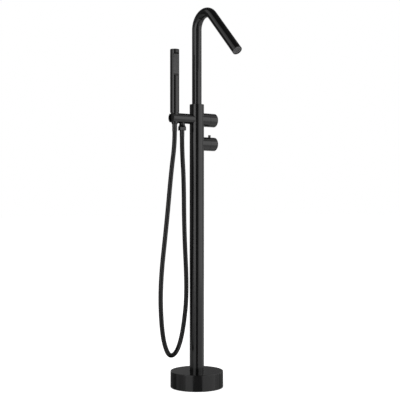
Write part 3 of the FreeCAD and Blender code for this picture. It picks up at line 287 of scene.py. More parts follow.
def carved(piece, *cutters):
    """Cut away what the cutters cover."""
    for cutter in cutters:
        cut(piece, cutter, "DIFFERENCE")
    return piece


def drill(radius, length, at, tilt=(0, 0, 0), sides=48):
    """A plain round cutter from one point on."""
    return turned("drill", [(radius, 0), (radius, length)], sides, at, tilt)


def root_cut(axis_height):
    """A cutter with the round of the column, for the root of what stands out from its side."""
    return drill(ROOT_CUT_RADIUS, ROOT_CUT_LENGTH, (0, 0, axis_height - ROOT_CUT_LENGTH / 2),
                 sides=144)


for label, height in (("upper", FLOW_AXIS), ("lower", TEMPERATURE_AXIS)):
    sleeve = turned(label + "_sleeve_piece",
                    tube(SLEEVE_BORE, CONTROL_RADIUS, SLEEVE_ROOT, SLEEVE_REACH),
                    sides=128, at=(0, 0, height), tilt=POINT_RIGHT,
                    rounds=[(CONTROL_RADIUS, SLEEVE_REACH, SLEEVE_EDGE, 2),
                            (SLEEVE_BORE, SLEEVE_REACH, SLEEVE_EDGE, 2)])
    carved(sleeve, root_cut(height))
    smoothed(sleeve)
    dressed(sleeve, "stand", powder_coat, label + "_sleeve")

# ---------------------------------------------------------------------------
# Control handles
# Two cups turned from solid bar, with a hub inside that a small screw clamps to
# the spindle. The lower one has a hole on top for the safety button.
# ---------------------------------------------------------------------------
HANDLE_RIM = SLEEVE_REACH + 0.4
HANDLE_END = 68.4
HANDLE_BORE = 18.55
HANDLE_DEPTH = 63
HANDLE_EDGE = 1.2
HANDLE_RIM_EDGE = 0.3
HUB_BORE = 4.1
HUB_RADIUS = 7.5
HUB_START = 45
HUB_END = HANDLE_DEPTH + 0.2
SCREW_PLACE = 53
SCREW_HOLE_RADIUS = 2.1
SCREW_HOLE_DROP = 25
BUTTON_PLACE = 49.4
BUTTON_HOLE_RADIUS = 4.05
BUTTON_HOLE_RISE = 15
SIDE_HOLE_LENGTH = 12


def joined(first, *others):
    """Make one piece of several."""
    alone(first)
    for other in others:
        other.select_set(True)
    bpy.ops.object.join()
    return first


for label, height in (("flow", FLOW_AXIS), ("temperature", TEMPERATURE_AXIS)):
    handle = turned(label + "_handle_piece", [
        (HANDLE_BORE, HANDLE_DEPTH), (HANDLE_BORE, HANDLE_RIM), (CONTROL_RADIUS, HANDLE_RIM),
        (CONTROL_RADIUS, HANDLE_END)], sides=128, at=(0, 0, height), tilt=POINT_RIGHT,
        rounds=[(CONTROL_RADIUS, HANDLE_END, HANDLE_EDGE, 5),
                (CONTROL_RADIUS, HANDLE_RIM, HANDLE_RIM_EDGE, 2),
                (HANDLE_BORE, HANDLE_RIM, HANDLE_RIM_EDGE, 2)])
    carved(handle, drill(SCREW_HOLE_RADIUS, SIDE_HOLE_LENGTH,
                         (SCREW_PLACE, 0, height - SCREW_HOLE_DROP), sides=32))
    if label == "temperature":
        carved(handle, drill(BUTTON_HOLE_RADIUS, SIDE_HOLE_LENGTH,
                             (BUTTON_PLACE, 0, height + BUTTON_HOLE_RISE)))
    hub = turned("hub", tube(HUB_BORE, HUB_RADIUS, HUB_START, HUB_END),
                 sides=48, at=(0, 0, height), tilt=POINT_RIGHT)
    joined(handle, hub)
    smoothed(handle)
    dressed(handle, label + "_control", powder_coat, label + "_handle")

# ---------------------------------------------------------------------------
# Safety button
# A small black pin with a flange that a spring pushes up against the inside
# of the lower handle. It has to be pressed to turn past 38 degrees.
# ---------------------------------------------------------------------------
TAIL_RADIUS = 1.6
TAIL_FOOT = 11
FLANGE_RADIUS = 5.2
FLANGE_LOW = 15.9
FLANGE_HIGH = 17.4
BUTTON_RADIUS = 4
BUTTON_TOP = 28.4
BUTTON_EDGE = 0.6

button = turned("safety_button_piece", [
    (TAIL_RADIUS, TAIL_FOOT), (TAIL_RADIUS, FLANGE_LOW), (FLANGE_RADIUS, FLANGE_LOW),
    (FLANGE_RADIUS, FLANGE_HIGH), (BUTTON_RADIUS, FLANGE_HIGH), (BUTTON_RADIUS, BUTTON_TOP)],
    sides=64, at=(BUTTON_PLACE, 0, TEMPERATURE_AXIS),
    rounds=[(BUTTON_RADIUS, BUTTON_TOP, BUTTON_EDGE, 4)])
smoothed(button)
dressed(button, "override_button", powder_coat, "safety_button")

# ---------------------------------------------------------------------------
# Spout
# One tube, drawn over a round former to a bend of 136 degrees, so its free end
# slopes down to the bath. It turns in the bush at the top of the column.
# ---------------------------------------------------------------------------
SPOUT_RADIUS = 15
SPOUT_WALL = 1.8
SPOUT_FOOT = 863.8
SPOUT_RUN = 172
BEND_START = 1110
BEND_RADIUS = 46.6
BEND_DEGREES = 136
BEND_ANGLE = math.radians(BEND_DEGREES)

bpy.ops.object.select_all(action="DESELECT")
bpy.ops.mesh.primitive_circle_add(vertices=96, radius=SPOUT_RADIUS * MM, fill_type="NOTHING")
spout = bpy.context.object
spout.name = spout.data.name = "spout_piece"
bpy.ops.object.mode_set(mode="EDIT")
bpy.ops.mesh.select_all(action="SELECT")
bpy.ops.transform.translate(value=(0, 0, SPOUT_FOOT * MM))
bpy.ops.mesh.extrude_region_move(
    TRANSFORM_OT_translate={"value": (0, 0, (BEND_START - SPOUT_FOOT) * MM)})
bpy.ops.mesh.spin(steps=64, angle=-BEND_ANGLE, center=(0, -BEND_RADIUS * MM, BEND_START * MM),
                  axis=(1, 0, 0))
down_the_run = Vector((0, -math.sin(BEND_ANGLE), math.cos(BEND_ANGLE)))
bpy.ops.mesh.extrude_region_move(
    TRANSFORM_OT_translate={"value": down_the_run * SPOUT_RUN * MM})
bpy.ops.mesh.select_all(action="SELECT")
bpy.ops.mesh.remove_doubles(threshold=1e-6)
bpy.ops.mesh.normals_make_consistent(inside=False)
bpy.ops.object.mode_set(mode="OBJECT")
wall = spout.modifiers.new("wall", "SOLIDIFY")
wall.thickness = SPOUT_WALL * MM
wall.offset = -1
wall.use_even_offset = True
bpy.ops.object.modifier_apply(modifier=wall.name)
smoothed(spout)
dressed(spout, "spout", powder_coat, "spout_tube")

# ---------------------------------------------------------------------------
# Shower hose
# A 1.5 m hose with a smooth black cover, 14 mm thick. Between its end fittings
# 1.42 m of it hangs in one long loop from the outlet round to the handset.
# ---------------------------------------------------------------------------
HOSE_ROUTE = [
    (-56.5, 0, 775.5), (-56.5, 0, 730), (-50, 0, 645), (-47, 2, 485), (-32, 7, 295),
    (-41, 14, 184), (-57, 16, 125), (-88, 1, 104), (-124, -19, 114), (-156, -36, 182),
    (-158, -29, 323), (-127, -20, 514), (-105, -12, 670), (-84.3, 0, 750), (-84.3, 0, 790)]
HOSE_WIDTH = 0.014

line = bpy.data.curves.new("hose_line", "CURVE")
line.dimensions = "3D"
line.resolution_u = 16
spline = line.splines.new("NURBS")
spline.points.add(len(HOSE_ROUTE) - 1)
for point, (x, y, z) in zip(spline.points, HOSE_ROUTE):
    point.co = (x * MM, y * MM, z * MM, 1)
spline.order_u = 3
spline.use_endpoint_u = True
hose_guide = bpy.data.objects.new("hose_guide", line)
bpy.context.scene.collection.objects.link(hose_guide)
centre_line = [vertex.co.copy() for vertex in
               bpy.data.meshes.new_from_object(hose_guide).vertices]
line.bevel_depth = HOSE_WIDTH / 2
line.bevel_resolution = 6
line.use_fill_caps = True
alone(hose_guide)
bpy.ops.object.convert(target="MESH")
hose = bpy.context.object
hose.name = hose.data.name = "hose_piece"
smoothed(hose, angle=60)

hose_cover = finish_of("smooth hose cover", dark=(0.002, 0.002, 0.0021),
                       light=(0.0035, 0.0035, 0.0036), rough=(0.24, 0.3), grain=700,
                       depth=0.01, specular=0.2)
hose.data.materials.clear()
hose.data.materials.append(hose_cover)
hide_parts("hose")
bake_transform(hose)

# ---------------------------------------------------------------------------
# Aerator
# A black ring pressed into the spout's mouth, and in it a grey honeycomb of
# moulded plastic that lays the water in one clear stream.
# ---------------------------------------------------------------------------
SPOUT_TILT = (BEND_DEGREES, 0, 0)
BEND_END = Vector((0, BEND_RADIUS * (math.cos(BEND_ANGLE) - 1),
                   BEND_START + BEND_RADIUS * math.sin(BEND_ANGLE)))
MOUTH = BEND_END + down_the_run * SPOUT_RUN
HOUSING_BORE = 11.6
HOUSING_RADIUS = SPOUT_RADIUS - SPOUT_WALL - 0.1
HOUSING_INNER_END = -9
HOUSING_OUTER_END = -0.6
INSERT_RADIUS = 11.5
INSERT_BORE = 10.4
INSERT_INNER_END = -6.4
INSERT_OUTER_END = -1.2
SIEVE_RADIUS = 10.8
SIEVE_THICK = 2
COMB_DEPTH = 2.2
COMB_RADIUS = 10.3
COMB_ROWS = 6                    # on each side of the middle row
CELL_PITCH = 2.2
CELL_RADIUS = 1.27
CELL_WALL = 0.24


def copied(piece, x=0, y=0, z=0):
    """Another of the same piece, moved by millimetres, with a mesh of its own."""
    alone(piece)
    bpy.ops.object.duplicate()
    return placed(bpy.context.object, (x, y, z))


housing = turned("aerator_housing_piece",
                 tube(HOUSING_BORE, HOUSING_RADIUS, HOUSING_INNER_END, HOUSING_OUTER_END),
                 at=MOUTH, tilt=SPOUT_TILT)
smoothed(housing)
dressed(housing, "spout", powder_coat, "aerator_housing")

insert = turned("aerator_insert_piece",
                tube(INSERT_BORE, INSERT_RADIUS, INSERT_INNER_END, INSERT_OUTER_END), sides=72)
sieve = turned("sieve", [(SIEVE_RADIUS, INSERT_INNER_END),
                         (SIEVE_RADIUS, INSERT_INNER_END + SIEVE_THICK)], sides=72)
cell = turned("cell", tube(CELL_RADIUS - CELL_WALL, CELL_RADIUS,
                           INSERT_OUTER_END - COMB_DEPTH, INSERT_OUTER_END), sides=6)
cells = []
for row in range(-COMB_ROWS, COMB_ROWS + 1):
    for step in range(-COMB_ROWS, COMB_ROWS + 1):
        x = CELL_PITCH * (step + (0.5 if row % 2 else 0))
        y = CELL_PITCH * row * math.sqrt(3) / 2
        if math.hypot(x, y) < COMB_RADIUS:
            cells.append(copied(cell, x, y))
bpy.data.objects.remove(cell)
joined(insert, sieve, *cells)
placed(insert, MOUTH, SPOUT_TILT)
smoothed(insert)
grey_plastic = finish_of("grey aerator plastic", dark=(0.13, 0.13, 0.132),
                         light=(0.17, 0.17, 0.172), rough=(0.35, 0.45), grain=2500, depth=0.01)
dressed(insert, "spout", grey_plastic, "aerator_insert")

# ---------------------------------------------------------------------------
# Handset arm
# A solid round bar, its root cut to the round of the column. A tapered hole
# near its end holds the handset, and a slot lets the hose in from the side.
# ---------------------------------------------------------------------------
POINT_LEFT = (0, -90, 0)
HOLDER = -84.3
ARM_RADIUS = 15.7
ARM_ROOT = 6
ARM_REACH = 97.6
ARM_EDGE = 1.6
PAST_THE_ARM = 1                 # how far a cutter runs past what it cuts
ARM_LOW = FLOW_AXIS - ARM_RADIUS - PAST_THE_ARM
ARM_HIGH = FLOW_AXIS + ARM_RADIUS + PAST_THE_ARM
SLOT_END = -105
SLOT_HALF_WIDTH = 8.5
NUT_RADIUS = 11.2
NUT_SHOULDER = 820
NUT_TAPER = 0.7 / 27
BUSH_SEAT_GAP = 1.3


def holder_cone(gap):
    """A cutter with the taper of the handset's nut and some room round it."""
    return turned("cone", [(NUT_RADIUS + gap + (height - NUT_SHOULDER) * NUT_TAPER, height)
                           for height in (ARM_LOW, ARM_HIGH)], at=(HOLDER, 0, 0))


def block(low, high):
    """A rectangular cutter between two corners."""
    bpy.ops.object.select_all(action="DESELECT")
    bpy.ops.mesh.primitive_cube_add(size=1)
    piece = bpy.context.object
    piece.scale = [(b - a) * MM for a, b in zip(low, high)]
    return placed(piece, [(a + b) / 2 for a, b in zip(low, high)])


def holder_slot(half_width):
    """A cutter for the slot from the holder's middle out past the arm's end."""
    return block((SLOT_END, -half_width, ARM_LOW - PAST_THE_ARM),
                 (HOLDER, half_width, ARM_HIGH + PAST_THE_ARM))


arm = turned("handset_arm_piece", [(ARM_RADIUS, ARM_ROOT), (ARM_RADIUS, ARM_REACH)], sides=144,
             at=(0, 0, FLOW_AXIS), tilt=POINT_LEFT, rounds=[(ARM_RADIUS, ARM_REACH, ARM_EDGE, 6)])
carved(arm, root_cut(FLOW_AXIS), holder_cone(BUSH_SEAT_GAP), holder_slot(SLOT_HALF_WIDTH))
smoothed(arm)
dressed(arm, "stand", powder_coat, "handset_arm")

# ---------------------------------------------------------------------------
# Holder bush
# A thin black plastic liner in the tapered hole, open at the slot, which
# keeps the handset's nut from marking the coat.
# ---------------------------------------------------------------------------
BUSH_OUTER_GAP = 1.2
BUSH_INNER_GAP = 0.3
BUSH_SLOT_HALF_WIDTH = 8.6
BAR_START = 60
BAR_END = 110


def trimmed(piece, mould):
    """Keep only what lies inside the mould."""
    cut(piece, mould, "INTERSECT")
    return piece


bush = holder_cone(BUSH_OUTER_GAP)
bush.name = bush.data.name = "holder_bush_piece"
trimmed(bush, turned("bar", [(ARM_RADIUS, BAR_START), (ARM_RADIUS, BAR_END)], sides=144,
                     at=(0, 0, FLOW_AXIS), tilt=POINT_LEFT))
carved(bush, holder_cone(BUSH_INNER_GAP), holder_slot(BUSH_SLOT_HALF_WIDTH))
smoothed(bush)
black_plastic = finish_of("moulded black plastic", dark=(0.006, 0.006, 0.0062),
                          light=(0.009, 0.009, 0.0093), rough=(0.38, 0.46), grain=2200,
                          depth=0.015)
dressed(bush, "stand", black_plastic, "holder_bush")

# ---------------------------------------------------------------------------
# Hose outlet
# A coated brass nipple screwed into the underside of the arm, which flares
# out above the hose's hexagon nut.
# ---------------------------------------------------------------------------
OUTLET = -56.5
THREAD_RADIUS = 7.5
THREAD_TOP = 824
NECK_RADIUS = 8.8
NECK_TOP = 819
FLARE_TOP = 811.6
FLARE_RADIUS = 12.6
FLARE_FOOT = 803.8
FLARE_EDGE = 0.5
OUTLET_END_RADIUS = 10.4
OUTLET_END = 800.5

outlet = turned("outlet_nipple_piece", [
    (THREAD_RADIUS, THREAD_TOP), (THREAD_RADIUS, NECK_TOP), (NECK_RADIUS, NECK_TOP),
    (NECK_RADIUS, FLARE_TOP), (FLARE_RADIUS, FLARE_FOOT), (OUTLET_END_RADIUS, FLARE_FOOT),
    (OUTLET_END_RADIUS, OUTLET_END)], at=(OUTLET, 0, 0),
    rounds=[(FLARE_RADIUS, FLARE_FOOT, FLARE_EDGE, 3)])
smoothed(outlet)
dressed(outlet, "stand", powder_coat, "outlet_nipple")

# ---------------------------------------------------------------------------
# Hexagon nut
# The nut of the hose's lower end: coated brass, 24 mm across its flats, with
# its corners turned off at top and bottom.
# ---------------------------------------------------------------------------
HEXAGON_FLATS = 24
HEXAGON_CORNER = HEXAGON_FLATS / math.sqrt(3)
HEXAGON_LOW = 794.4
HEXAGON_HIGH = 803.7
TRIM_SMALL = 12.2                # the radius left on each face of the nut
TRIM_LARGE = 14.1
TRIM_HEIGHT = 1.2
HEXAGON_HOLE_RADIUS = 7.55
HEXAGON_HOLE_LOW = 793
HEXAGON_HOLE_LENGTH = 4

hexagon = turned("hose_hex_nut_piece", [(HEXAGON_CORNER, HEXAGON_LOW),
                                        (HEXAGON_CORNER, HEXAGON_HIGH)],
                 sides=6, at=(OUTLET, 0, 0), tilt=(0, 0, 30))
trim_low = HEXAGON_LOW - 0.1
trim_high = HEXAGON_HIGH + 0.1
trimmed(hexagon, turned("corner_trim", [
    (TRIM_SMALL, trim_low), (TRIM_LARGE, trim_low + TRIM_HEIGHT),
    (TRIM_LARGE, trim_high - TRIM_HEIGHT), (TRIM_SMALL, trim_high)], at=(OUTLET, 0, 0)))
carved(hexagon, drill(HEXAGON_HOLE_RADIUS, HEXAGON_HOLE_LENGTH, (OUTLET, 0, HEXAGON_HOLE_LOW)))
smoothed(hexagon, angle=20)
dressed(hexagon, "stand", powder_coat, "hose_hex_nut")

# ---------------------------------------------------------------------------
# Hose ferrules
# Coated sleeves pressed on to the two ends of the hose. Three shallow crimps
# grip the hose, and a flange inside each nut seals against it.
# ---------------------------------------------------------------------------
CRIMPS = 3
CRIMP_START = 2.4
CRIMP_PITCH = 4.2
CRIMP_DEPTH = 0.35
CRIMP_SLOPE = 0.3
CRIMP_WIDTH = 1.6
FERRULE_EDGE = 0.3
FERRULE_FLANGE_RADIUS = 9.7
FERRULE_FLANGE_THICK = 1.8


def ferrule(label, radius, foot, top, spot):
    """A sleeve with crimps above its foot, and a flange at its top."""
    outline = [(radius, foot)]
    for crimp in range(CRIMPS):
        low = foot + CRIMP_START + CRIMP_PITCH * crimp
        high = low + CRIMP_WIDTH
        outline += [(radius, low), (radius - CRIMP_DEPTH, low + CRIMP_SLOPE),
                    (radius - CRIMP_DEPTH, high - CRIMP_SLOPE), (radius, high)]
    outline += [(radius, top - FERRULE_FLANGE_THICK),
                (FERRULE_FLANGE_RADIUS, top - FERRULE_FLANGE_THICK),
                (FERRULE_FLANGE_RADIUS, top)]
    return smoothed(turned(label + "_piece", outline, sides=72, at=(spot, 0, 0),
                           rounds=[(radius, foot, FERRULE_EDGE, 2)]))


for label, body, radius, foot, top, spot in (
        ("outlet_ferrule", "stand", 7.4, 775.5, 798.3, OUTLET),
        ("handset_ferrule", "hose_end", 7.7, 790, 823.1, HOLDER)):
    dressed(ferrule(label, radius, foot, top, spot), body, powder_coat, label)

# ---------------------------------------------------------------------------
# Handset nut
# The hose's upper nut: a long coated cone that drops into the holder and
# carries the handset. It is screwed on to the handset's nipple.
# ---------------------------------------------------------------------------
NUT_FOOT = 811.8
NUT_FOOT_RADIUS = 8.7
NUT_HOLE = 8
NUT_TOP = 846.9
NUT_TOP_RADIUS = 11.9
NUT_BORE = 10.5
NUT_FLOOR = NUT_SHOULDER + 1
NUT_EDGE = 0.3

cone_nut = turned("hose_cone_nut_piece", [
    (NUT_HOLE, NUT_FOOT), (NUT_FOOT_RADIUS, NUT_FOOT), (NUT_RADIUS, NUT_SHOULDER),
    (NUT_TOP_RADIUS, NUT_TOP), (NUT_BORE, NUT_TOP), (NUT_BORE, NUT_FLOOR),
    (NUT_HOLE, NUT_FLOOR), (NUT_HOLE, NUT_FOOT)], at=(HOLDER, 0, 0),
    rounds=[(NUT_FOOT_RADIUS, NUT_FOOT, NUT_EDGE, 2)])
smoothed(cone_nut, angle=25)
dressed(cone_nut, "handset", powder_coat, "hose_cone_nut")

# ---------------------------------------------------------------------------
# Handset body
# A stick turned from brass bar, bored for the water tube. A flat milled near
# its top takes the spray face, and runs out in a slope at each end.
# ---------------------------------------------------------------------------
STICK_RADIUS = 14.1
STICK_FOOT = 847
STICK_TOP = 1036.1
STICK_FOOT_EDGE = 0.4
STICK_TOP_EDGE = 0.25
STICK_BORE = 7
SOCKET_RADIUS = NUT_BORE
RELIEF_RADIUS = 12.4
RELIEF_LOW = 850
RELIEF_HIGH = 855.2
FLAT = 8.2                       # from the stick's axis to the milled flat
FLAT_LOW = 966
FLAT_HIGH = 1027
RUN_OUT_ABOVE = 4.0
RUN_OUT_BELOW = 10.7
MILL_FRONT = 16.1
MILL_HALF_WIDTH = 20
POCKET_HALF_WIDTH = 11
POCKET_LOW = 968.5
POCKET_HIGH = 1025.7
POCKET_FRONT = 12
POCKET_BACK = 5.1


def face_block(inset, front, back):
    """A block that fits the spray face's pocket, smaller by an inset on its four sides."""
    return block((HOLDER - POCKET_HALF_WIDTH + inset, -front, POCKET_LOW + inset),
                 (HOLDER + POCKET_HALF_WIDTH - inset, -back, POCKET_HIGH - inset))


stick = turned("handset_body_piece", [
    (SOCKET_RADIUS, STICK_FOOT), (STICK_RADIUS, STICK_FOOT), (STICK_RADIUS, STICK_TOP),
    (STICK_BORE, STICK_TOP), (STICK_BORE, RELIEF_HIGH), (RELIEF_RADIUS, RELIEF_HIGH),
    (RELIEF_RADIUS, RELIEF_LOW), (SOCKET_RADIUS, RELIEF_LOW), (SOCKET_RADIUS, STICK_FOOT)],
    sides=144, at=(HOLDER, 0, 0), rounds=[(STICK_RADIUS, STICK_FOOT, STICK_FOOT_EDGE, 3),
                                          (STICK_RADIUS, STICK_TOP, STICK_TOP_EDGE, 2)])
mill = block((HOLDER - MILL_HALF_WIDTH, -MILL_FRONT, FLAT_LOW),
             (HOLDER + MILL_HALF_WIDTH, -FLAT, FLAT_HIGH))
alone(mill)
bpy.ops.object.mode_set(mode="EDIT")
for end, run_out in ((FLAT_HIGH, RUN_OUT_ABOVE), (FLAT_LOW, -RUN_OUT_BELOW)):
    bpy.ops.mesh.select_all(action="DESELECT")
    corners = bmesh.from_edit_mesh(mill.data)
    for vertex in corners.verts:
        _, y, z = vertex.co / MM
        vertex.select_set(abs(y + MILL_FRONT) < NEAR and abs(z - end) < NEAR)
    bmesh.update_edit_mesh(mill.data)
    bpy.ops.transform.translate(value=(0, 0, run_out * MM))
bpy.ops.object.mode_set(mode="OBJECT")
carved(stick, mill, face_block(0, POCKET_FRONT, POCKET_BACK))
smoothed(stick)
dressed(stick, "handset", powder_coat, "handset_body")

# ---------------------------------------------------------------------------
# Handset cap
# A coated disc with a spigot, glued into the top of the stick.
# ---------------------------------------------------------------------------
LID_TOP = 1041.3
LID_FOOT = STICK_TOP + 0.1
LID_EDGE = 0.8
LID_SEAM_EDGE = 0.25
LID_SPIGOT_RADIUS = 6.9
LID_SPIGOT_FOOT = 1031.1

lid = turned("handset_cap_piece", [
    (STICK_RADIUS, LID_TOP), (STICK_RADIUS, LID_FOOT), (LID_SPIGOT_RADIUS, LID_FOOT),
    (LID_SPIGOT_RADIUS, LID_SPIGOT_FOOT)], sides=144, at=(HOLDER, 0, 0),
    rounds=[(STICK_RADIUS, LID_TOP, LID_EDGE, 4), (STICK_RADIUS, LID_FOOT, LID_SEAM_EDGE, 2)])
smoothed(lid)
dressed(lid, "handset", powder_coat, "handset_cap")

# ---------------------------------------------------------------------------
# Spray face
# A moulded black plate let into the flat, and behind it a sheet of silicone
# whose 43 soft nozzles stand up through the plate, in five staggered columns.
# ---------------------------------------------------------------------------
TO_THE_FRONT = (90, 0, 0)
PLATE_INSET = 0.1
PLATE_BACK = 6.7
PLATE_EDGE = 0.25
SHEET_INSET = 0.2
SHEET_FRONT = 6.6
SHEET_BACK = 5.4
NOZZLE_MIDDLE = 998.2
NOZZLE_PITCH = 6.1
NOZZLE_COLUMN_PITCH = 4.8
NOZZLE_HOLE_RADIUS = 0.95
NOZZLE_HOLE_START = 5.5
NOZZLE_HOLE_LENGTH = 4
NOZZLE_PROFILE = [(0.82, -0.3), (0.8, 1.6), (0.7, 2.55), (0.5, 2.8), (0.28, 2.8), (0.22, 2.1)]

nozzle_places = []
for column_step in range(-2, 3):
    count = 8 if column_step % 2 else 9
    nozzle_places += [(column_step * NOZZLE_COLUMN_PITCH,
                       NOZZLE_MIDDLE + NOZZLE_PITCH * (step - (count - 1) / 2))
                      for step in range(count)]

plate = face_block(PLATE_INSET, FLAT, PLATE_BACK)
plate.name = plate.data.name = "spray_plate_piece"
rounded(plate, PLATE_EDGE, 2, lambda x, y, z: abs(y + FLAT) < NEAR)
hole = drill(NOZZLE_HOLE_RADIUS, NOZZLE_HOLE_LENGTH, (HOLDER, -NOZZLE_HOLE_START, 0),
             TO_THE_FRONT, sides=20)
holes = [copied(hole, x=side, z=height) for side, height in nozzle_places]
bpy.data.objects.remove(hole)
carved(plate, joined(*holes))
smoothed(plate)
dressed(plate, "handset", black_plastic, "spray_plate")

sheet = face_block(SHEET_INSET, SHEET_FRONT, SHEET_BACK)
sheet.name = sheet.data.name = "nozzle_mat_piece"
nozzle = turned("nozzle", NOZZLE_PROFILE, sides=16, at=(HOLDER, -SHEET_FRONT, 0),
                tilt=TO_THE_FRONT)
nozzles = [copied(nozzle, x=side, z=height) for side, height in nozzle_places]
bpy.data.objects.remove(nozzle)
joined(sheet, *nozzles)
smoothed(sheet)
silicone = finish_of("black silicone", dark=(0.012, 0.012, 0.0122),
                     light=(0.017, 0.017, 0.0172), rough=(0.5, 0.6), grain=1800, depth=0.01)
dressed(sheet, "handset", silicone, "nozzle_mat")

# ---------------------------------------------------------------------------
# Inner works
# Pieces that the covers hide: brass, steel, copper, plastic and rubber.
# They keep their solids and get the finish of what they are made of.
# ---------------------------------------------------------------------------
brass = finish_of("turned brass", dark=(0.5, 0.36, 0.16), light=(0.62, 0.46, 0.22),
                  rough=(0.25, 0.35), grain=900, depth=0.01, metallic=1)
copper = finish_of("drawn copper", dark=(0.52, 0.24, 0.15), light=(0.65, 0.33, 0.21),
                   rough=(0.3, 0.42), grain=300, depth=0.01, metallic=1)
steel = finish_of("stainless steel", dark=(0.4, 0.4, 0.4), light=(0.55, 0.55, 0.54),
                  rough=(0.25, 0.4), grain=1200, depth=0.01, metallic=1)
acetal = finish_of("natural acetal", dark=(0.55, 0.54, 0.5), light=(0.65, 0.64, 0.6),
                   rough=(0.4, 0.5), grain=1500, depth=0.01)
rubber = finish_of("sealing rubber", dark=(0.01, 0.01, 0.01), light=(0.016, 0.016, 0.016),
                   rough=(0.6, 0.75), grain=1500, depth=0.02)
for material, names in (
        (brass, ("valve_body", "arm_nipple", "handset_nipple", "spout_nipple",
                 "cartridge_nuts", "flow_spindle", "temperature_spindle")),
        (copper, ("hot_supply_pipe", "cold_supply_pipe")),
        (steel, ("floor_flange", "column_screws", "spout_screw", "flow_handle_screw",
                 "temperature_handle_screw")),
        (acetal, ("flow_cartridge", "thermostat_cartridge", "stop_ring", "swivel_bush",
                  "check_valve", "water_tube", "filter_washer")),
        (rubber, ("base_seal", "flange_seal", "spout_orings", "hose_washer"))):
    for name in names:
        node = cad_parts[name]
        node.data.materials.clear()
        node.data.materials.append(material)

# ---------------------------------------------------------------------------
# Button spring
# Five turns of steel wire between the handle's hub and the button's flange.
# ---------------------------------------------------------------------------
WIRE_RADIUS = 0.3
COIL_RADIUS = 2.9
COIL_LOW = TEMPERATURE_AXIS + 8.2
COIL_RISE = 7.1
COIL_TURNS = 5

bpy.ops.object.select_all(action="DESELECT")
bpy.ops.mesh.primitive_circle_add(vertices=12, radius=WIRE_RADIUS * MM)
coil = placed(bpy.context.object, (COIL_RADIUS, 0, 0), TO_THE_FRONT)
coil.name = coil.data.name = "button_spring_piece"
winding = coil.modifiers.new("winding", "SCREW")
winding.screw_offset = COIL_RISE / COIL_TURNS * MM
winding.iterations = COIL_TURNS
winding.steps = winding.render_steps = 32
bpy.ops.object.modifier_apply(modifier=winding.name)
placed(coil, (BUTTON_PLACE, 0, COIL_LOW))
bpy.ops.object.mode_set(mode="EDIT")
bpy.ops.mesh.select_all(action="SELECT")
bpy.ops.mesh.fill_holes(sides=12)
bpy.ops.mesh.normals_make_consistent(inside=False)
bpy.ops.object.mode_set(mode="OBJECT")
smoothed(coil, angle=60)
dressed(coil, "temperature_control", steel, "button_spring")
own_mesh(coil)

# ---------------------------------------------------------------------------
# Floor, light and camera
# A white studio with a tall soft light on each side and weaker ones above and
# behind. Grey and black cards, which only reflections see, give each tube its
# dark middle and dark edges.
# ---------------------------------------------------------------------------
CAMERA_TURN = math.radians(36.479)
CAMERA_TILT = math.radians(90.429)
CAMERA_REACH = 2.711956          # metres, as every length below
CAMERA_HEIGHT = 0.56858
CAMERA_LENS = 78.34
CAMERA_SENSOR = 36
CAMERA_SHIFT = (0.00799, -0.0070)
FLOOR_SIZE = 60
FLOOR_GREY = 0.65
CARD_OFFSET = 0.083              # just outside the base's side
CARD_LOW = 0.001
CARD_STEP = 4
FOOT_REACH = 0.3
WALL_REACH = 3.5
WALL_HEIGHT = 3.4
CEILING_REACH = 3.7
CEILING_GREY = 0.1


def strength_for(tree, other_rays, background_rays):
    """One strength for the rays that see the background, and another for all the others.

    The background is seen by the camera, by reflections and through what is clear.
    """
    path = tree.nodes.new("ShaderNodeLightPath")
    sees = path.outputs["Is Camera Ray"]
    for ray in ("Is Glossy Ray", "Is Transmission Ray"):
        either = tree.nodes.new("ShaderNodeMath")
        either.operation = "MAXIMUM"
        tree.links.new(sees, either.inputs[0])
        tree.links.new(path.outputs[ray], either.inputs[1])
        sees = either.outputs["Value"]
    strength = tree.nodes.new("ShaderNodeMapRange")
    strength.inputs["To Min"].default_value = other_rays
    strength.inputs["To Max"].default_value = background_rays
    tree.links.new(sees, strength.inputs["Value"])
    return strength.outputs["Result"]


bpy.ops.object.select_all(action="DESELECT")
bpy.ops.mesh.primitive_plane_add(size=FLOOR_SIZE, location=(0, 0, 0))
floor = bpy.context.object
floor.name = "studio_floor"
floor_paint = bpy.data.materials.new("pale floor")
floor_paint.use_nodes = True
paint = floor_paint.node_tree.nodes["Principled BSDF"]
paint.inputs["Base Color"].default_value = (FLOOR_GREY, FLOOR_GREY, FLOOR_GREY, 1)
paint.inputs["Roughness"].default_value = 1
paint.inputs["Specular IOR Level"].default_value = 0
paint.inputs["Emission Color"].default_value = (1, 1, 1, 1)
glow = strength_for(floor_paint.node_tree, other_rays=0, background_rays=0.77)
floor_paint.node_tree.links.new(glow, paint.inputs["Emission Strength"])
floor.data.materials.append(floor_paint)

world = bpy.data.worlds.new("studio")
bpy.context.scene.world = world
world.use_nodes = True
sky = world.node_tree.nodes["Background"]
sky.inputs["Color"].default_value = (1, 1, 1, 1)
backdrop = strength_for(world.node_tree, other_rays=0.4, background_rays=1)
world.node_tree.links.new(backdrop, sky.inputs["Strength"])


def aside(angle, reach, height):
    """A point at an angle in degrees from the camera's direction, positive to its right."""
    turn = CAMERA_TURN - math.radians(angle)
    return Vector((-math.sin(turn) * reach, -math.cos(turn) * reach, height))


def lamp(name, angle, reach, height, size, power, aim_height):
    """A soft rectangular light that faces the column at some height."""
    light = bpy.data.lights.new(name, "AREA")
    light.shape = "RECTANGLE"
    light.size, light.size_y = size
    light.energy = power
    holder = bpy.data.objects.new(name, light)
    holder.location = aside(angle, reach, height)
    aim = Vector((0, 0, aim_height)) - holder.location
    holder.rotation_euler = aim.to_track_quat("-Z", "Y").to_euler()
    bpy.context.scene.collection.objects.link(holder)


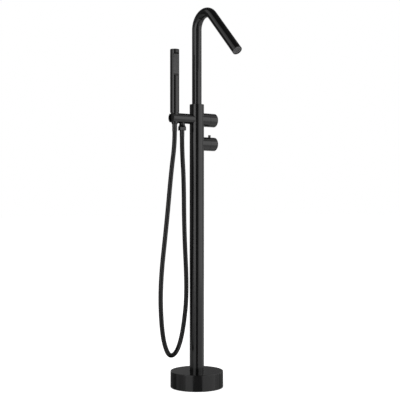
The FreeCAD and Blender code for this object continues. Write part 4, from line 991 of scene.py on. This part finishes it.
def papered(sheet_of_card, grey):
    """Make the same object a card of an even grey that only reflections see."""
    paper = bpy.data.materials.new(sheet_of_card.name)
    paper.use_nodes = True
    even = paper.node_tree.nodes.new("ShaderNodeEmission")
    even.inputs["Color"].default_value = (grey, grey, grey, 1)
    paper.node_tree.links.new(even.outputs["Emission"],
                              paper.node_tree.nodes["Material Output"].inputs["Surface"])
    sheet_of_card.data.materials.append(paper)
    sheet_of_card.visible_camera = False
    sheet_of_card.visible_diffuse = False
    sheet_of_card.visible_shadow = False


def card(name, start, end, grey, near, far):
    """A card between two angles and two (reach, height) pairs, off the base's side."""
    bpy.ops.object.select_all(action="DESELECT")
    bpy.ops.mesh.primitive_grid_add(
        x_subdivisions=1, y_subdivisions=round((end - start) / CARD_STEP), size=1)
    sheet_of_card = bpy.context.object
    sheet_of_card.name = name
    for vertex in sheet_of_card.data.vertices:
        angle = start + (end - start) * (vertex.co.y + 0.5)
        vertex.co = (aside(angle / 2, CARD_OFFSET, 0)
                     + aside(angle, *(near if vertex.co.x < 0 else far)))
    papered(sheet_of_card, grey)


for name, angle, reach, height, size, power, aim_height in (
        ("left strip", -37, 3.0, 1.4, (2.0, 2.8), 38, 1.0),
        ("right bank", 64, 3.0, 1.4, (3.6, 2.8), 50, 1.0),
        ("upper left", -82, 2.4, 2.6, (2.0, 2.4), 14, 0.8),
        ("upper right", 105, 2.0, 2.9, (1.6, 1.8), 7, 0.8),
        ("back left", -164, 3.0, 1.4, (0.9, 2.8), 5, 1.0),
        ("back right", 164, 3.0, 1.4, (0.9, 2.8), 5, 1.0)):
    lamp(name, angle, reach, height, size, power, aim_height)
for start, end, grey in (
        (-188, -100, 0.12), (-100, -86, 0.5), (-86, -74, 0.44), (-74, -62, 0.54),
        (-62, -50, 0.65), (-17, 24, 0.25), (88, 100, 0.78), (100, 114, 0.6),
        (114, 136, 0.27), (136, 188, 0.16)):
    card("foot card", start, end, grey, (0, CARD_LOW), (FOOT_REACH, CARD_LOW))
for name, start, end, floor_grey, wall_grey in (
        ("front card", -12.5, 18.5, 0.03, 0.01), ("left grey card", -100, -62, 0.7, 0.4),
        ("left card", -188, -100, 0.5, 0.12), ("right card", 136, 188, 0.5, 0.16)):
    card(name + " floor", start, end, floor_grey, (FOOT_REACH, CARD_LOW),
         (WALL_REACH, CARD_LOW))
    card(name, start, end, wall_grey, (WALL_REACH, CARD_LOW), (WALL_REACH, WALL_HEIGHT))
bpy.ops.object.select_all(action="DESELECT")
bpy.ops.mesh.primitive_circle_add(vertices=48, radius=CEILING_REACH, fill_type="NGON",
                                  location=(0, 0, WALL_HEIGHT))
bpy.context.object.name = "ceiling card"
papered(bpy.context.object, CEILING_GREY)

camera = bpy.data.cameras.new("camera")
camera.sensor_width = CAMERA_SENSOR
camera.lens = CAMERA_LENS
camera.shift_x, camera.shift_y = CAMERA_SHIFT
eye = bpy.data.objects.new("camera", camera)
eye.location = aside(0, CAMERA_REACH, CAMERA_HEIGHT)
eye.rotation_euler = (CAMERA_TILT, 0, -CAMERA_TURN)
bpy.context.scene.collection.objects.link(eye)
bpy.context.scene.camera = eye
bpy.context.scene.view_settings.view_transform = "Standard"
